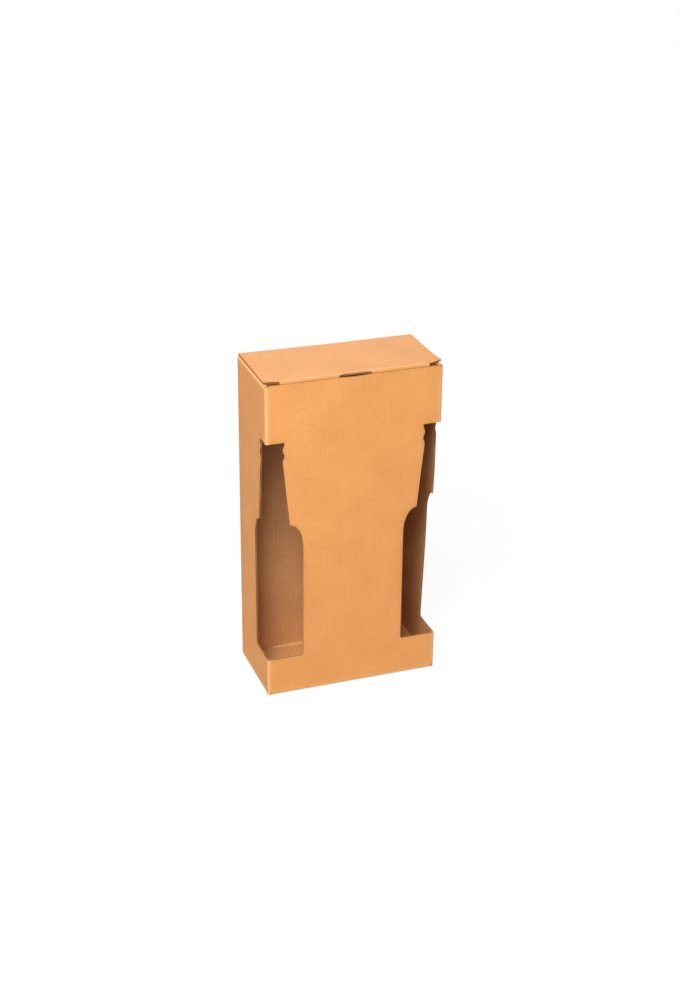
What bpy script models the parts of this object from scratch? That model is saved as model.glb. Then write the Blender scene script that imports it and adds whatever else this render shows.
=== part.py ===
"""Tuck-top carton of fluted kraft board for two long-neck bottles, with bottle-shaped corner windows.

The carton stands on Z = 0 with its front facing -Y and the viewer's right at +X.
Every stretch of board between two score lines is drawn flat in its own frame and set up by a
parent empty on the outer corner of its score, so a flap that moves turns about its parent's origin.
"""

import math

import bmesh
import bpy
from mathutils import Matrix, Vector

# Board and clearances, metres
BOARD = 0.0015              # thickness of the fluted board
JOIN_GAP = 0.0003           # clearance between two pieces of board that touch
CRUSH = 0.0008              # how much further the score line reaches on the inner face
SLIDE_CLEAR = 0.0008        # side clearance of a flap that is pushed in between two walls

# Outer size of the carton
CARTON_WIDTH = 0.131
CARTON_DEPTH = 0.065
CARTON_HEIGHT = 0.245

# Corner windows: a bottle outline whose axis is the corner of the carton
TOP_BAND = 0.044            # height of board left above the windows
BASE_BAND = 0.0295          # height of board left below the windows
BODY_CUT = 0.0275           # window edge to corner along the bottle's body
NECK_ROOT_CUT = 0.0175      # the same where the neck meets the shoulder
LIP_CUT = 0.0132            # the same at the mouth of the bottle
LIP_WAVE = 0.0006           # swell of the mouth's two rings
LIP_RING = 0.0090           # height from one ring to the next
LIP_START = 0.0015          # from the window's top edge to the middle of the upper ring
NECK_LENGTH = 0.0490        # straight taper of the neck
SHOULDER_HEIGHT = 0.0190
WINDOW_RADIUS = 0.0020      # rounding of the window's lower corner
CROWN_RADIUS = 0.0010       # rounding of the window's upper corner

# Closure at the top
LID_SIDE_SETBACK = 0.0001   # from the ends of the back panel to the lid's side edges
SLIT_LENGTH = 0.0095        # slit at each end of the lid's front fold
SLIT_SPREAD = 0.0020        # how much further a slit opens at the lid's side edge
TUCK_LENGTH = 0.0160
TUCK_CLEAR = 0.0004         # between the tuck flap and the front panel at the fold
TUCK_SWING_CLEAR = 0.0003   # left between the tuck flap's tip and the front panel as the lid opens
TUCK_SHOULDER_DROP = 0.0005  # from the score's inner side down to the tuck flap's ends
TUCK_RADIUS = 0.0100
NOTCH_WIDTH = 0.0240        # finger notch in the lid's front fold, the tuck flap and the front panel
NOTCH_DEPTH = 0.0010        # of the front panel's notch
TUCK_NOTCH_DEPTH = 0.0050   # of the tuck flap's, which lets a fingertip under the lid
DUST_REACH = 0.0320
DUST_FRONT_SETBACK = 0.0050  # from the front panel's inner face to the dust flap's front edge
DUST_BACK_SETBACK = 0.0025   # from the back of the carton to the dust flap's back edge
DUST_RISE_RATIO = 0.5       # turn of a dust flap for each turn of the lid
DUST_RADIUS = 0.0060

# Glued seam at the left back corner
SEAM_WIDTH = 0.0140
SEAM_END_SETBACK = 0.0080
SEAM_TAPER = 0.0040

# Interlocking bottom
TONGUE_WIDTH = 0.0280
TONGUE_ROOT_SETBACK = 0.0065  # from the middle line of the bottom to the root of a tongue
TONGUE_LAP = 0.0120           # how far a tongue reaches past the middle line
TONGUE_RAMP = 0.0050
TONGUE_SIDE_CLEAR = 0.0055
TONGUE_RADIUS = 0.0050
BOTTOM_CORNER_CUT = 0.0190
SIDE_CORNER_CUT = 0.0100

# Centre divider
DIVIDER_HEIGHT = 0.1360
DIVIDER_TAB = 0.0220
DIVIDER_RADIUS = 0.0120

ARC_STEPS = 6

# Worked out from the sizes above
EDGE = BOARD + JOIN_GAP                        # a panel starts this far from its fold's corner
FRONT_TOP = CARTON_HEIGHT - BOARD              # the lid's fold lies on the front panel's top edge
SIDE_TOP = CARTON_HEIGHT - EDGE                # the dust flaps lie one board below the lid
WINDOW_TOP = CARTON_HEIGHT - TOP_BAND
LID_REACH = CARTON_DEPTH - BOARD - TUCK_CLEAR  # from the lid's hinge to its front fold
SEAM_CORNER = -CARTON_WIDTH / 2 + EDGE         # outer face of the seam flap
BACK_CENTRE = (CARTON_WIDTH / 2 + SEAM_CORNER) / 2  # middle of the back panel and of the lid
BACK_HALF = (CARTON_WIDTH / 2 - SEAM_CORNER) / 2
LID_HALF = BACK_HALF - LID_SIDE_SETBACK
SLIT_INNER = LID_HALF - SLIT_LENGTH            # half the length of the lid's front fold

# The tuck flap leans back far enough for its tip to pass the front panel as the lid swings up:
# the tip's distance from the lid's hinge equals the panel's distance less a clearance.
SWING_RADIUS = CARTON_DEPTH - BOARD - TUCK_SWING_CLEAR
TUCK_LEAN = math.asin(
    (LID_REACH ** 2 + TUCK_LENGTH ** 2 - SWING_RADIUS ** 2) / (2 * LID_REACH * TUCK_LENGTH)
)

RIGHT = Vector((1, 0, 0))
BACKWARD = Vector((0, 1, 0))
UP = Vector((0, 0, 1))

KRAFT_FACE = (0.846, 0.420, 0.150)
KRAFT_SIDE = (0.708, 0.330, 0.130)
KRAFT_TOP = (0.880, 0.480, 0.200)
KRAFT_FOLD = (0.950, 0.560, 0.270)
KRAFT_INSIDE = (0.560, 0.290, 0.120)


def clear_scene():
    """Remove every object of the open scene."""
    for item in list(bpy.data.objects):
        bpy.data.objects.remove(item, do_unlink=True)


def kraft(name, colour):
    """Make the dull paper surface of one piece of board."""
    material = bpy.data.materials.new(name)
    material.use_nodes = True
    shader = material.node_tree.nodes["Principled BSDF"]
    shader.inputs["Base Color"].default_value = (*colour, 1.0)
    shader.inputs["Roughness"].default_value = 0.82
    shader.inputs["Metallic"].default_value = 0.0
    return material


def frame(name, origin, inward, reach, parent=None):
    """Set an empty on a score line: its Y points into the carton and its Z away from the score."""
    empty = bpy.data.objects.new(name, None)
    empty.empty_display_size = 0.01
    along = inward.cross(reach)
    turn = Matrix((along, inward, reach)).transposed().to_4x4()
    place = Matrix.Translation(origin) @ turn
    if parent is not None:
        empty.parent = parent
        place = parent.matrix_basis.inverted() @ place
    empty.matrix_basis = place
    bpy.context.scene.collection.objects.link(empty)
    return empty


def arc(centre, radius, start, end, steps=ARC_STEPS):
    """Points of an arc, angles in degrees, counterclockwise when end is above start."""
    points = []
    for step in range(steps + 1):
        angle = math.radians(start + (end - start) * step / steps)
        points.append((centre[0] + radius * math.cos(angle), centre[1] + radius * math.sin(angle)))
    return points


def mirrored(points):
    """The same outline on the other side of its own middle line, still counterclockwise."""
    return [(-u, v) for u, v in reversed(points)]


def board(name, outer, inner, parent, colour, flip=False):
    """Stand a piece of board between an outer and an inner outline of as many points."""
    if flip:
        outer = mirrored(outer)
        inner = mirrored(inner)
    mesh = bpy.data.meshes.new(name)
    shape = bmesh.new()
    front = [shape.verts.new((u, 0.0, v)) for u, v in outer]
    rear = [shape.verts.new((u, BOARD, v)) for u, v in inner]
    shape.faces.new(front)
    shape.faces.new(list(reversed(rear)))
    count = len(front)
    for index in range(count):
        follow = (index + 1) % count
        shape.faces.new((front[follow], front[index], rear[index], rear[follow]))
    bmesh.ops.recalc_face_normals(shape, faces=shape.faces)
    shape.to_mesh(mesh)
    shape.free()
    mesh.materials.append(kraft(name + "_board", colour))
    piece = bpy.data.objects.new(name, mesh)
    piece.parent = parent
    bpy.context.scene.collection.objects.link(piece)
    return piece


def panel(name, outline, parent, colour, flip=False):
    """A piece of board whose scored edges lie further in on the inner face."""
    return board(name, outline(EDGE), outline(EDGE + CRUSH), parent, colour, flip)


def fold(name, origin, inward, outward, length, colour=KRAFT_FOLD, parent=None, notch=0.0):
    """The crushed board of a score line: rounded outside, hollow inside, centred on its origin.

    A notch cuts most of the section away in the middle of the fold's length and leaves a strip
    beside the panel that lies across outward.
    """
    corner = frame(name + "_line", origin, inward, outward, parent)
    outside = arc((BOARD, -BOARD), BOARD, 180, 90)
    inside = arc((0.0, 0.0), BOARD, 0, -90)
    whole = outside + inside[1:-1]
    first = 2 * ARC_STEPS // 3
    last = 2 * ARC_STEPS - first
    kept = whole[first:last + 1]
    removed = whole[last:] + whole[:first + 1]
    cuts = [-notch / 2, notch / 2] if notch else []
    places = [-length / 2] + cuts + [length / 2]

    mesh = bpy.data.meshes.new(name)
    shape = bmesh.new()
    rings = [{point: shape.verts.new((place, *point)) for point in whole} for place in places]
    shape.faces.new([rings[0][point] for point in whole])
    shape.faces.new([rings[-1][point] for point in reversed(whole)])
    for number, (start, end) in enumerate(zip(rings, rings[1:])):
        section = kept if notch and number == 1 else whole
        for point, follow in zip(section, section[1:] + section[:1]):
            shape.faces.new((start[point], start[follow], end[follow], end[point]))
    for ring in rings[1:-1]:
        shape.faces.new([ring[point] for point in removed])
    bmesh.ops.recalc_face_normals(shape, faces=shape.faces)
    shape.to_mesh(mesh)
    shape.free()
    mesh.shade_smooth()
    mesh.set_sharp_from_angle(angle=math.radians(40))
    mesh.materials.append(kraft(name + "_board", colour))
    piece = bpy.data.objects.new(name, mesh)
    piece.parent = corner
    bpy.context.scene.collection.objects.link(piece)
    return piece


def window_edge(edge):
    """Bottle outline as (distance from the corner, height), from the base band to the top band.

    The lip is a cosine along the height, the neck a straight taper, the shoulder a quarter
    ellipse and the body a straight run whose length is what the carton's height leaves.
    """
    lip_base = WINDOW_TOP - LIP_START - 1.5 * LIP_RING
    neck_base = lip_base - NECK_LENGTH
    shoulder_base = neck_base - SHOULDER_HEIGHT
    points = [(edge, BASE_BAND)]
    points += arc((BODY_CUT - WINDOW_RADIUS, BASE_BAND + WINDOW_RADIUS), WINDOW_RADIUS, -90, 0)
    shoulder_steps = 10
    for step in range(shoulder_steps + 1):
        turn = math.radians(90 * step / shoulder_steps)
        across = NECK_ROOT_CUT + (BODY_CUT - NECK_ROOT_CUT) * math.cos(turn)
        points.append((across, shoulder_base + SHOULDER_HEIGHT * math.sin(turn)))
    lip_steps = 12
    for step in range(lip_steps + 1):
        height = 1.5 * LIP_RING * step / lip_steps
        wave = math.cos(2 * math.pi * (height / LIP_RING - 1.5))
        points.append((LIP_CUT + LIP_WAVE * wave, lip_base + height))
    crown = LIP_CUT + LIP_WAVE
    points += arc((crown - CROWN_RADIUS, WINDOW_TOP - CROWN_RADIUS), CROWN_RADIUS, 0, 90)[1:]
    points.append((edge, WINDOW_TOP))
    return points


def notch_arc(width, depth):
    """Radius of the arc that a notch of this width and depth has, and half the angle that it turns."""
    radius = (width ** 2 / 4 + depth ** 2) / (2 * depth)
    return radius, math.degrees(math.asin(width / 2 / radius))


def front_outline(edge):
    """Front panel: both windows and the finger notch."""
    half = CARTON_WIDTH / 2
    right = [(half - distance, height) for distance, height in window_edge(edge)]
    radius, sweep = notch_arc(NOTCH_WIDTH, NOTCH_DEPTH)
    notch = arc((0.0, FRONT_TOP - NOTCH_DEPTH + radius), radius, -90 + sweep, -90 - sweep, 12)
    right_half = [(half - edge, edge)] + right + [(half - edge, FRONT_TOP)]
    return right_half + notch + mirrored(right_half)


def side_outline(edge, back_edge):
    """Side panel with the front of the carton at +u: window at the front, dust flap's score on top."""
    half = CARTON_DEPTH / 2
    window = [(half - distance, height) for distance, height in window_edge(edge)]
    score = SIDE_TOP - edge
    foot = EDGE + edge
    return [(-half + back_edge, foot), (half - edge, foot)] + window + [
        (half - edge, score),
        (-half + back_edge, score),
    ]


def left_side_outline(edge):
    """Left side panel: its back edge is a cut edge that covers the glued seam."""
    return side_outline(edge, 0.0)


def right_side_outline(edge):
    """Right side panel: scored at the back."""
    return side_outline(edge, edge)


def back_outline(edge):
    """Back panel, seen from behind: scored on all four sides, the seam at its +u end."""
    left = -CARTON_WIDTH / 2 + edge
    right = -SEAM_CORNER - edge
    top = CARTON_HEIGHT - edge
    return [(left, edge), (right, edge), (right, top), (left, top)]


def lid_outline(edge):
    """Lid: scored at the hinge and at the front fold, its free corners cut back along the slits."""
    front = LID_REACH - edge
    right_half = [(LID_HALF, edge), (LID_HALF, front - SLIT_SPREAD), (SLIT_INNER, front)]
    return right_half + mirrored(right_half)


def tuck_outline(edge):
    """Tuck flap: scored between the slits, notched in the middle, rounded at its free corners."""
    half = CARTON_WIDTH / 2 - BOARD - SLIDE_CLEAR - BACK_CENTRE
    corner = (half - TUCK_RADIUS, TUCK_LENGTH - TUCK_RADIUS)
    slit = SLIT_INNER - JOIN_GAP
    shoulder = EDGE + CRUSH + TUCK_SHOULDER_DROP
    right_half = [(slit, edge), (slit, shoulder), (half, shoulder)]
    right_half += arc(corner, TUCK_RADIUS, 0, 90)
    radius, sweep = notch_arc(NOTCH_WIDTH, TUCK_NOTCH_DEPTH)
    centre = (0.0, edge + TUCK_NOTCH_DEPTH - radius)
    return right_half + mirrored(right_half) + arc(centre, radius, 90 + sweep, 90 - sweep, 10)


def dust_outline(edge):
    """Dust flap with the front of the carton at +u.

    The back edge slants so that the flap, which rises at a part of the lid's turn, stays below
    the lid: its reach times that part never exceeds the distance from the lid's hinge.
    """
    half = CARTON_DEPTH / 2
    front = half - BOARD - DUST_FRONT_SETBACK
    heel = -half + DUST_BACK_SETBACK
    slant = math.degrees(math.atan(DUST_RISE_RATIO))
    toe = heel + DUST_RISE_RATIO * (DUST_REACH - EDGE)
    trim = DUST_RADIUS * (1 / math.cos(math.radians(slant)) - DUST_RISE_RATIO)
    front_corner = (front - DUST_RADIUS, DUST_REACH - DUST_RADIUS)
    toe_corner = (toe + trim, DUST_REACH - DUST_RADIUS)
    points = [(heel + DUST_RISE_RATIO * (edge - EDGE), edge), (front, edge)]
    points += arc(front_corner, DUST_RADIUS, 0, 90)
    points += arc(toe_corner, DUST_RADIUS, 90, 180 - slant)
    return points


def seam_outline(edge):
    """Seam flap, drawn along the corner from its middle: tapered at both ends."""
    half = CARTON_HEIGHT / 2 - SEAM_END_SETBACK
    return [
        (-half, edge),
        (half, edge),
        (half - SEAM_TAPER, SEAM_WIDTH),
        (-half + SEAM_TAPER, SEAM_WIDTH),
    ]


def major_bottom_outline(edge):
    """Front or back bottom flap: a plate to the middle line, with a tongue past it at +u."""
    half = CARTON_WIDTH / 2 - BOARD - SLIDE_CLEAR
    middle = (CARTON_DEPTH - JOIN_GAP) / 2
    root = CARTON_DEPTH / 2 - TONGUE_ROOT_SETBACK
    slope_foot = middle - BOTTOM_CORNER_CUT
    tip = CARTON_DEPTH / 2 + TONGUE_LAP
    slit = JOIN_GAP
    points = [(-half, edge), (half, edge), (half, slope_foot), (half - BOTTOM_CORNER_CUT, middle)]
    points += [(TONGUE_WIDTH + slit, middle), (TONGUE_WIDTH + slit, root), (TONGUE_WIDTH, root)]
    points += arc((TONGUE_WIDTH - TONGUE_RADIUS, tip - TONGUE_RADIUS), TONGUE_RADIUS, 0, 90)
    points += arc((slit + TONGUE_RADIUS, tip - TONGUE_RADIUS), TONGUE_RADIUS, 90, 180)
    points += [(slit, root), (-slit, root), (-slit, middle)]
    points += [(-half + BOTTOM_CORNER_CUT, middle), (-half, slope_foot)]
    return points


def minor_bottom_outline(edge):
    """Side bottom flap: lies on the front and back ones, clear of their tongues."""
    half = CARTON_DEPTH / 2 - BOARD - SLIDE_CLEAR
    reach = CARTON_WIDTH / 2 - TONGUE_WIDTH - TONGUE_SIDE_CLEAR
    foot = reach - SIDE_CORNER_CUT
    return [
        (-half, edge),
        (half, edge),
        (half, foot),
        (half - SIDE_CORNER_CUT, reach),
        (-half + SIDE_CORNER_CUT, reach),
        (-half, foot),
    ]


def divider_outline(edge):
    """Divider panel with the front of the carton at +u: glued side at the back, one round corner."""
    back = -(CARTON_DEPTH / 2 - EDGE) + edge
    front = CARTON_DEPTH / 2 - EDGE
    centre = (front - DIVIDER_RADIUS, DIVIDER_HEIGHT - DIVIDER_RADIUS)
    return [(back, 0.0), (front, 0.0)] + arc(centre, DIVIDER_RADIUS, 0, 90) + [(back, DIVIDER_HEIGHT)]


def tab_outline(edge):
    """Glued tab of the divider, drawn along its fold from the middle."""
    half = DIVIDER_HEIGHT / 2
    return [
        (-half, edge),
        (half, edge),
        (half - SEAM_TAPER, DIVIDER_TAB),
        (-half + SEAM_TAPER, DIVIDER_TAB),
    ]


def raise_tongue(piece):
    """Bend the tongue of a bottom flap up by one layer, so that it lies on the opposite flap."""
    root = CARTON_DEPTH / 2 - TONGUE_ROOT_SETBACK
    shape = bmesh.new()
    shape.from_mesh(piece.data)
    for height in (root, root + TONGUE_RAMP):
        everything = list(shape.verts) + list(shape.edges) + list(shape.faces)
        bmesh.ops.bisect_plane(shape, geom=everything, plane_co=(0, 0, height), plane_no=(0, 0, 1))
    for vertex in shape.verts:
        if 0 < vertex.co.x < TONGUE_WIDTH + JOIN_GAP / 2:
            climb = (vertex.co.z - root) / TONGUE_RAMP
            vertex.co.y += EDGE * min(max(climb, 0.0), 1.0)
    shape.to_mesh(piece.data)
    shape.free()


def build_sleeve():
    """The four walls, their corners and the glued seam."""
    half_width = CARTON_WIDTH / 2
    half_depth = CARTON_DEPTH / 2
    front = frame("front_wall", (0, -half_depth, 0), BACKWARD, UP)
    left = frame("left_wall", (-half_width, 0, 0), RIGHT, UP)
    right = frame("right_wall", (half_width, 0, 0), -RIGHT, UP)
    back = frame("back_wall", (0, half_depth, 0), -BACKWARD, UP)
    panel("front_panel", front_outline, front, KRAFT_FACE)
    panel("left_side_panel", left_side_outline, left, KRAFT_SIDE)
    panel("right_side_panel", right_side_outline, right, KRAFT_SIDE, flip=True)
    panel("back_panel", back_outline, back, KRAFT_FACE)

    band = (WINDOW_TOP + SIDE_TOP) / 2
    band_length = SIDE_TOP - WINDOW_TOP
    base = (EDGE + BASE_BAND) / 2
    base_length = BASE_BAND - EDGE
    for side, name in ((-1, "left"), (1, "right")):
        x = side * half_width
        outward = side * RIGHT
        fold(f"{name}_front_top_corner", (x, -half_depth, band), BACKWARD, outward, band_length)
        fold(f"{name}_front_base_corner", (x, -half_depth, base), BACKWARD, outward, base_length)

    middle = CARTON_HEIGHT / 2
    tall = CARTON_HEIGHT - 2 * EDGE
    fold("right_back_corner", (half_width, half_depth, middle), -BACKWARD, RIGHT, tall)
    fold("left_back_corner", (SEAM_CORNER, half_depth, middle), -BACKWARD, -RIGHT, tall)
    seam = frame("seam_line", (SEAM_CORNER, half_depth, middle), RIGHT, -BACKWARD)
    panel("seam_flap", seam_outline, seam, KRAFT_INSIDE)


def build_bottom():
    """The interlocking bottom: two plates with tongues, and two side flaps on them."""
    half_width = CARTON_WIDTH / 2
    half_depth = CARTON_DEPTH / 2
    front_length = CARTON_WIDTH - 2 * EDGE
    side_length = CARTON_DEPTH - 2 * EDGE
    seam_side = (-half_width, EDGE / 2, EDGE)
    fold("front_bottom_fold", (0, -half_depth, 0), BACKWARD, -UP, front_length)
    fold("back_bottom_fold", (BACK_CENTRE, half_depth, 0), -BACKWARD, -UP, 2 * (BACK_HALF - EDGE))
    fold("left_bottom_fold", seam_side, RIGHT, -UP, side_length + EDGE)
    fold("right_bottom_fold", (half_width, 0, EDGE), -RIGHT, -UP, side_length)

    front = frame("front_bottom", (0, -half_depth, 0), UP, BACKWARD)
    back = frame("back_bottom", (0, half_depth, 0), UP, -BACKWARD)
    left = frame("left_bottom", (-half_width, 0, EDGE), UP, RIGHT)
    right = frame("right_bottom", (half_width, 0, EDGE), UP, -RIGHT)
    raise_tongue(panel("front_bottom_flap", major_bottom_outline, front, KRAFT_FACE))
    raise_tongue(panel("back_bottom_flap", major_bottom_outline, back, KRAFT_FACE))
    panel("left_bottom_flap", minor_bottom_outline, left, KRAFT_INSIDE)
    panel("right_bottom_flap", minor_bottom_outline, right, KRAFT_INSIDE)


def build_divider():
    """The separate divider: a panel across the carton and a tab glued to the back panel."""
    floor = 2 * EDGE
    back_face = CARTON_DEPTH / 2 - EDGE
    middle = floor + DIVIDER_HEIGHT / 2
    wall = frame("divider_wall", (-BOARD / 2, 0, floor), RIGHT, UP)
    panel("centre_divider", divider_outline, wall, KRAFT_INSIDE)
    fold("divider_fold", (-BOARD / 2, back_face, middle), RIGHT, BACKWARD, DIVIDER_HEIGHT, KRAFT_INSIDE)
    tab = frame("divider_tab_line", (-BOARD / 2, back_face, middle), -BACKWARD, RIGHT)
    panel("divider_tab", tab_outline, tab, KRAFT_INSIDE)


def build_closure():
    """Dust flaps, lid and tuck flap, each on the outer corner of the score that it turns on."""
    half_width = CARTON_WIDTH / 2
    half_depth = CARTON_DEPTH / 2
    score_length = CARTON_DEPTH - 2 * EDGE
    fold("left_top_fold", (-half_width, EDGE / 2, SIDE_TOP), RIGHT, UP, score_length + EDGE)
    fold("right_top_fold", (half_width, 0, SIDE_TOP), -RIGHT, UP, score_length)
    left = frame("left_dust_hinge", (-half_width, 0, SIDE_TOP), -UP, RIGHT)
    right = frame("right_dust_hinge", (half_width, 0, SIDE_TOP), -UP, -RIGHT)
    panel("left_dust_flap", dust_outline, left, KRAFT_INSIDE)
    panel("right_dust_flap", dust_outline, right, KRAFT_INSIDE, flip=True)

    hinge_line = (BACK_CENTRE, half_depth, CARTON_HEIGHT)
    fold("lid_back_fold", hinge_line, -BACKWARD, UP, 2 * (BACK_HALF - JOIN_GAP))
    lid = frame("lid_hinge", hinge_line, -UP, -BACKWARD)
    panel("lid_panel", lid_outline, lid, KRAFT_TOP)

    front_line = Vector((BACK_CENTRE, half_depth - LID_REACH, CARTON_HEIGHT))
    fold("lid_front_fold", front_line, BACKWARD, UP, 2 * SLIT_INNER, parent=lid, notch=NOTCH_WIDTH)
    lean = Matrix.Rotation(TUCK_LEAN, 3, RIGHT)
    tuck = frame("tuck_hinge", front_line, lean @ BACKWARD, lean @ -UP, parent=lid)
    panel("tuck_flap", tuck_outline, tuck, KRAFT_TOP)


def main():
    """Build the carton."""
    clear_scene()
    build_sleeve()
    build_bottom()
    build_divider()
    build_closure()


main()
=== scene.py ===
"""Looks of a bottle carton with two bays: fluted kraft board, die-cut and folded, in a studio.

Sizes are metres in the frame's own axes: the carton stands on Z = 0 and its front faces -Y.
Each wall is made as the real board is: an outer paper, a wavy paper and an inner paper. A flat
piece of board is drawn in its own sheet, where u runs along its score line, v away from that line
and depth from the outer face to the inner one. The sheet is then set up where it stands.
"""

from __future__ import annotations

import logging
import math
from dataclasses import dataclass, field
from enum import Enum
from typing import Callable, Optional, Sequence, Union

import bpy
import numpy as np
from mathutils import Matrix, Vector
from mathutils.geometry import delaunay_2d_cdt

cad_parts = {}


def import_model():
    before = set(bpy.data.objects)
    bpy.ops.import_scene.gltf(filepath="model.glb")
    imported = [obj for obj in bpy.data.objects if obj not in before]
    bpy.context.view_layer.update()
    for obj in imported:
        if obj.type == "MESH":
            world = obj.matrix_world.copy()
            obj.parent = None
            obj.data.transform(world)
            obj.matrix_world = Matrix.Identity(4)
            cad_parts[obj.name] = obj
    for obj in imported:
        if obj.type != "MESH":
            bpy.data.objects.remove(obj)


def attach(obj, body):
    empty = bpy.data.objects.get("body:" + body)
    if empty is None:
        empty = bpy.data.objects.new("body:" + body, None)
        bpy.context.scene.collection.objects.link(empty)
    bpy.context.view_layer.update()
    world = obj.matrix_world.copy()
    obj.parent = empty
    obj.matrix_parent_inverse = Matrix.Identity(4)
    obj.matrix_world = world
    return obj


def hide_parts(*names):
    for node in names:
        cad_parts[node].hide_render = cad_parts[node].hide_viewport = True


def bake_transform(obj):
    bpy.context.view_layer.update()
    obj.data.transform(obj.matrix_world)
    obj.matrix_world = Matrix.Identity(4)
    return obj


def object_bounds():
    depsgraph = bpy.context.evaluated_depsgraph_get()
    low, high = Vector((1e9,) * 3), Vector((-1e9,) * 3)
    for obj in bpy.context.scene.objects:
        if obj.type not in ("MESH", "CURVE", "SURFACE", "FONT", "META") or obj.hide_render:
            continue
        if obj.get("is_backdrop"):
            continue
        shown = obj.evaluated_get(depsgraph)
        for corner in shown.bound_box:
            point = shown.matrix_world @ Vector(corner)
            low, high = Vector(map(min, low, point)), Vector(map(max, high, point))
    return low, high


Array = np.ndarray
Colour = tuple[float, float, float]
Warp = Callable[[Array, Array], Array]

RIGHT = np.array((1.0, 0.0, 0.0))
BACKWARD = np.array((0.0, 1.0, 0.0))
UP = np.array((0.0, 0.0, 1.0))

PLACE_LAYER = "sheet_place"   # a point's place across the flutes, along them and in depth
# the crease value lays a highlight along score lines, partly painted and partly stretched paper
CREASE_LAYER = "crease"       # 0 on flat board, up to 1 on the middle of a score line
# the rim value darkens the paper towards cut edges, and above 1 paints shade on a fold
RIM_LAYER = "rim"             # 1 on a cut edge, 0 a little way from it, more on a shaded fold

WHITE = (1.0, 1.0, 1.0, 1.0)
FLUTE_PITCH = 0.0032          # from one crest of the wavy paper to the next
LARGE_ARC_STEPS = 14          # runs in the outline of a large rounded corner
NOTCH_STEPS = 20              # runs in the outline of a finger notch
SHARP_ANGLE = math.radians(38)  # an edge that turns by more than this is shaded as sharp
ROUNDING = 1e-6               # what rounding may add to a place or a count
LEAST_LENGTH = 1e-9           # a direction shorter than this isn't scaled to 1
LEAST_AREA = 1e-13            # a triangle smaller than this is left out
FAR = 1.0                     # the distance given where there is nothing to be near to

log = logging.getLogger("carton")


class Face(Enum):
    """The papers of a piece of board, in the order of its material slots."""

    OUTER = 0
    INNER = 1
    FLUTING = 2
    CUT = 3


@dataclass(frozen=True)
class Board:
    """Fluted board with all that its cuts and scores do to it.

    A score rounds the board off and crushes it on both sides, with a bead on the inner face. A cut
    pinches both faces together over a narrow strip, inside which the mesh has a ring of points.
    Where two boards meet there is a join gap. Where a sheet is warped, its wavy paper has warp
    lines to bend on.
    """

    thickness: float = 0.0015
    liner: float = 0.00018
    medium: float = 0.00013
    pitch: float = FLUTE_PITCH
    flute_steps: int = 10
    warp_lines: int = 20
    fold_radius: float = 0.0018
    crush: float = 0.0008
    bead: float = 0.0004
    pinch: float = 0.00010
    pinch_width: float = 0.0007
    ring_share: float = 0.9
    rim_fade: float = 0.0022
    crease_spread: float = 0.0032
    cell: float = 0.0035
    join_gap: float = 0.0003

    @property
    def edge(self) -> float:
        """Distance from a fold's corner to the end of its rounding."""
        return self.thickness + self.join_gap

    @property
    def flat(self) -> float:
        """Distance from a fold's corner to where the board is flat again."""
        return self.fold_radius + self.crush

    @property
    def fold_length(self) -> float:
        """Length of a fold's strip along the outer face: two landings and a quarter circle."""
        return 2 * self.crush + self.fold_radius * math.pi / 2


@dataclass(frozen=True)
class Stand:
    """Where a sheet of board stands: its score line, the way in and the way from the score."""

    origin: Sequence[float]
    inward: Array
    reach: Array

    def place(self, u: Array, v: Array, depth: Array) -> Array:
        """Points of the sheet in the frame's axes.

        Args:
            u: places along the score line, whose direction is inward cross reach.
            v: distances from the score line.
            depth: distances inwards from the outer face.

        Returns:
            origin + u * along + depth * inward + v * reach, one row for each point.
        """
        along = np.cross(self.inward, self.reach)
        axes = np.stack([along, self.inward, self.reach])
        return np.asarray(self.origin) + np.column_stack([u, depth, v]) @ axes


@dataclass(frozen=True)
class Body:
    """A closed surface: points, triangles, each triangle's paper and each point's three layers."""

    points: Array
    triangles: Array
    faces: Array
    place: Array
    crease: Array
    rim: Array


def arc(centre: Sequence[float], radius: float, start: float, end: float, steps: int = 8) -> Array:
    """Points of an arc: centre + radius * (cosine, sine) of angles from start to end.

    Args:
        centre: the arc's centre.
        radius: its radius.
        start: first angle in degrees.
        end: last angle in degrees.
        steps: number of equal runs.

    Returns:
        An array of steps + 1 points.
    """
    angle = np.radians(np.linspace(start, end, steps + 1))
    return np.asarray(centre) + radius * np.column_stack([np.cos(angle), np.sin(angle)])


def notch_arc(width: float, depth: float) -> tuple[float, float]:
    """Radius of a notch's arc, (width^2 / 4 + depth^2) / (2 depth), and half of its turn."""
    radius = (width ** 2 / 4 + depth ** 2) / (2 * depth)
    return radius, math.degrees(math.asin(width / 2 / radius))


def mirrored(points: Array) -> Array:
    """The same outline with u turned round, still counterclockwise."""
    return points[::-1] * (-1.0, 1.0)


def flap_outline(half: float, foot: float, reach: float, taper: float) -> Array:
    """Flap that narrows evenly from its score line to its free edge."""
    return np.array([(-half, foot), (half, foot), (half - taper, reach), (-half + taper, reach)])


def smooth(share: Array) -> Array:
    """Smooth step: 0 below 0, 1 above 1 and 3 t^2 - 2 t^3 between."""
    share = np.clip(share, 0.0, 1.0)
    return share * share * (3.0 - 2.0 * share)


def refined(outline: Array, step: float) -> Array:
    """Split the long runs of a closed outline evenly.

    Args:
        outline: its corners in order.
        step: longest run allowed.

    Returns:
        The outline with points added, each at an equal share of its run.
    """
    ahead = np.roll(outline, -1, axis=0)
    runs = np.linalg.norm(ahead - outline, axis=1)
    parts = np.maximum(np.ceil(runs / step - ROUNDING).astype(int), 1)
    start = np.repeat(np.arange(len(outline)), parts)
    count = np.arange(parts.sum()) - np.repeat(np.cumsum(parts) - parts, parts)
    share = (count / parts[start])[:, None]
    return outline[start] * (1 - share) + ahead[start] * share


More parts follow.
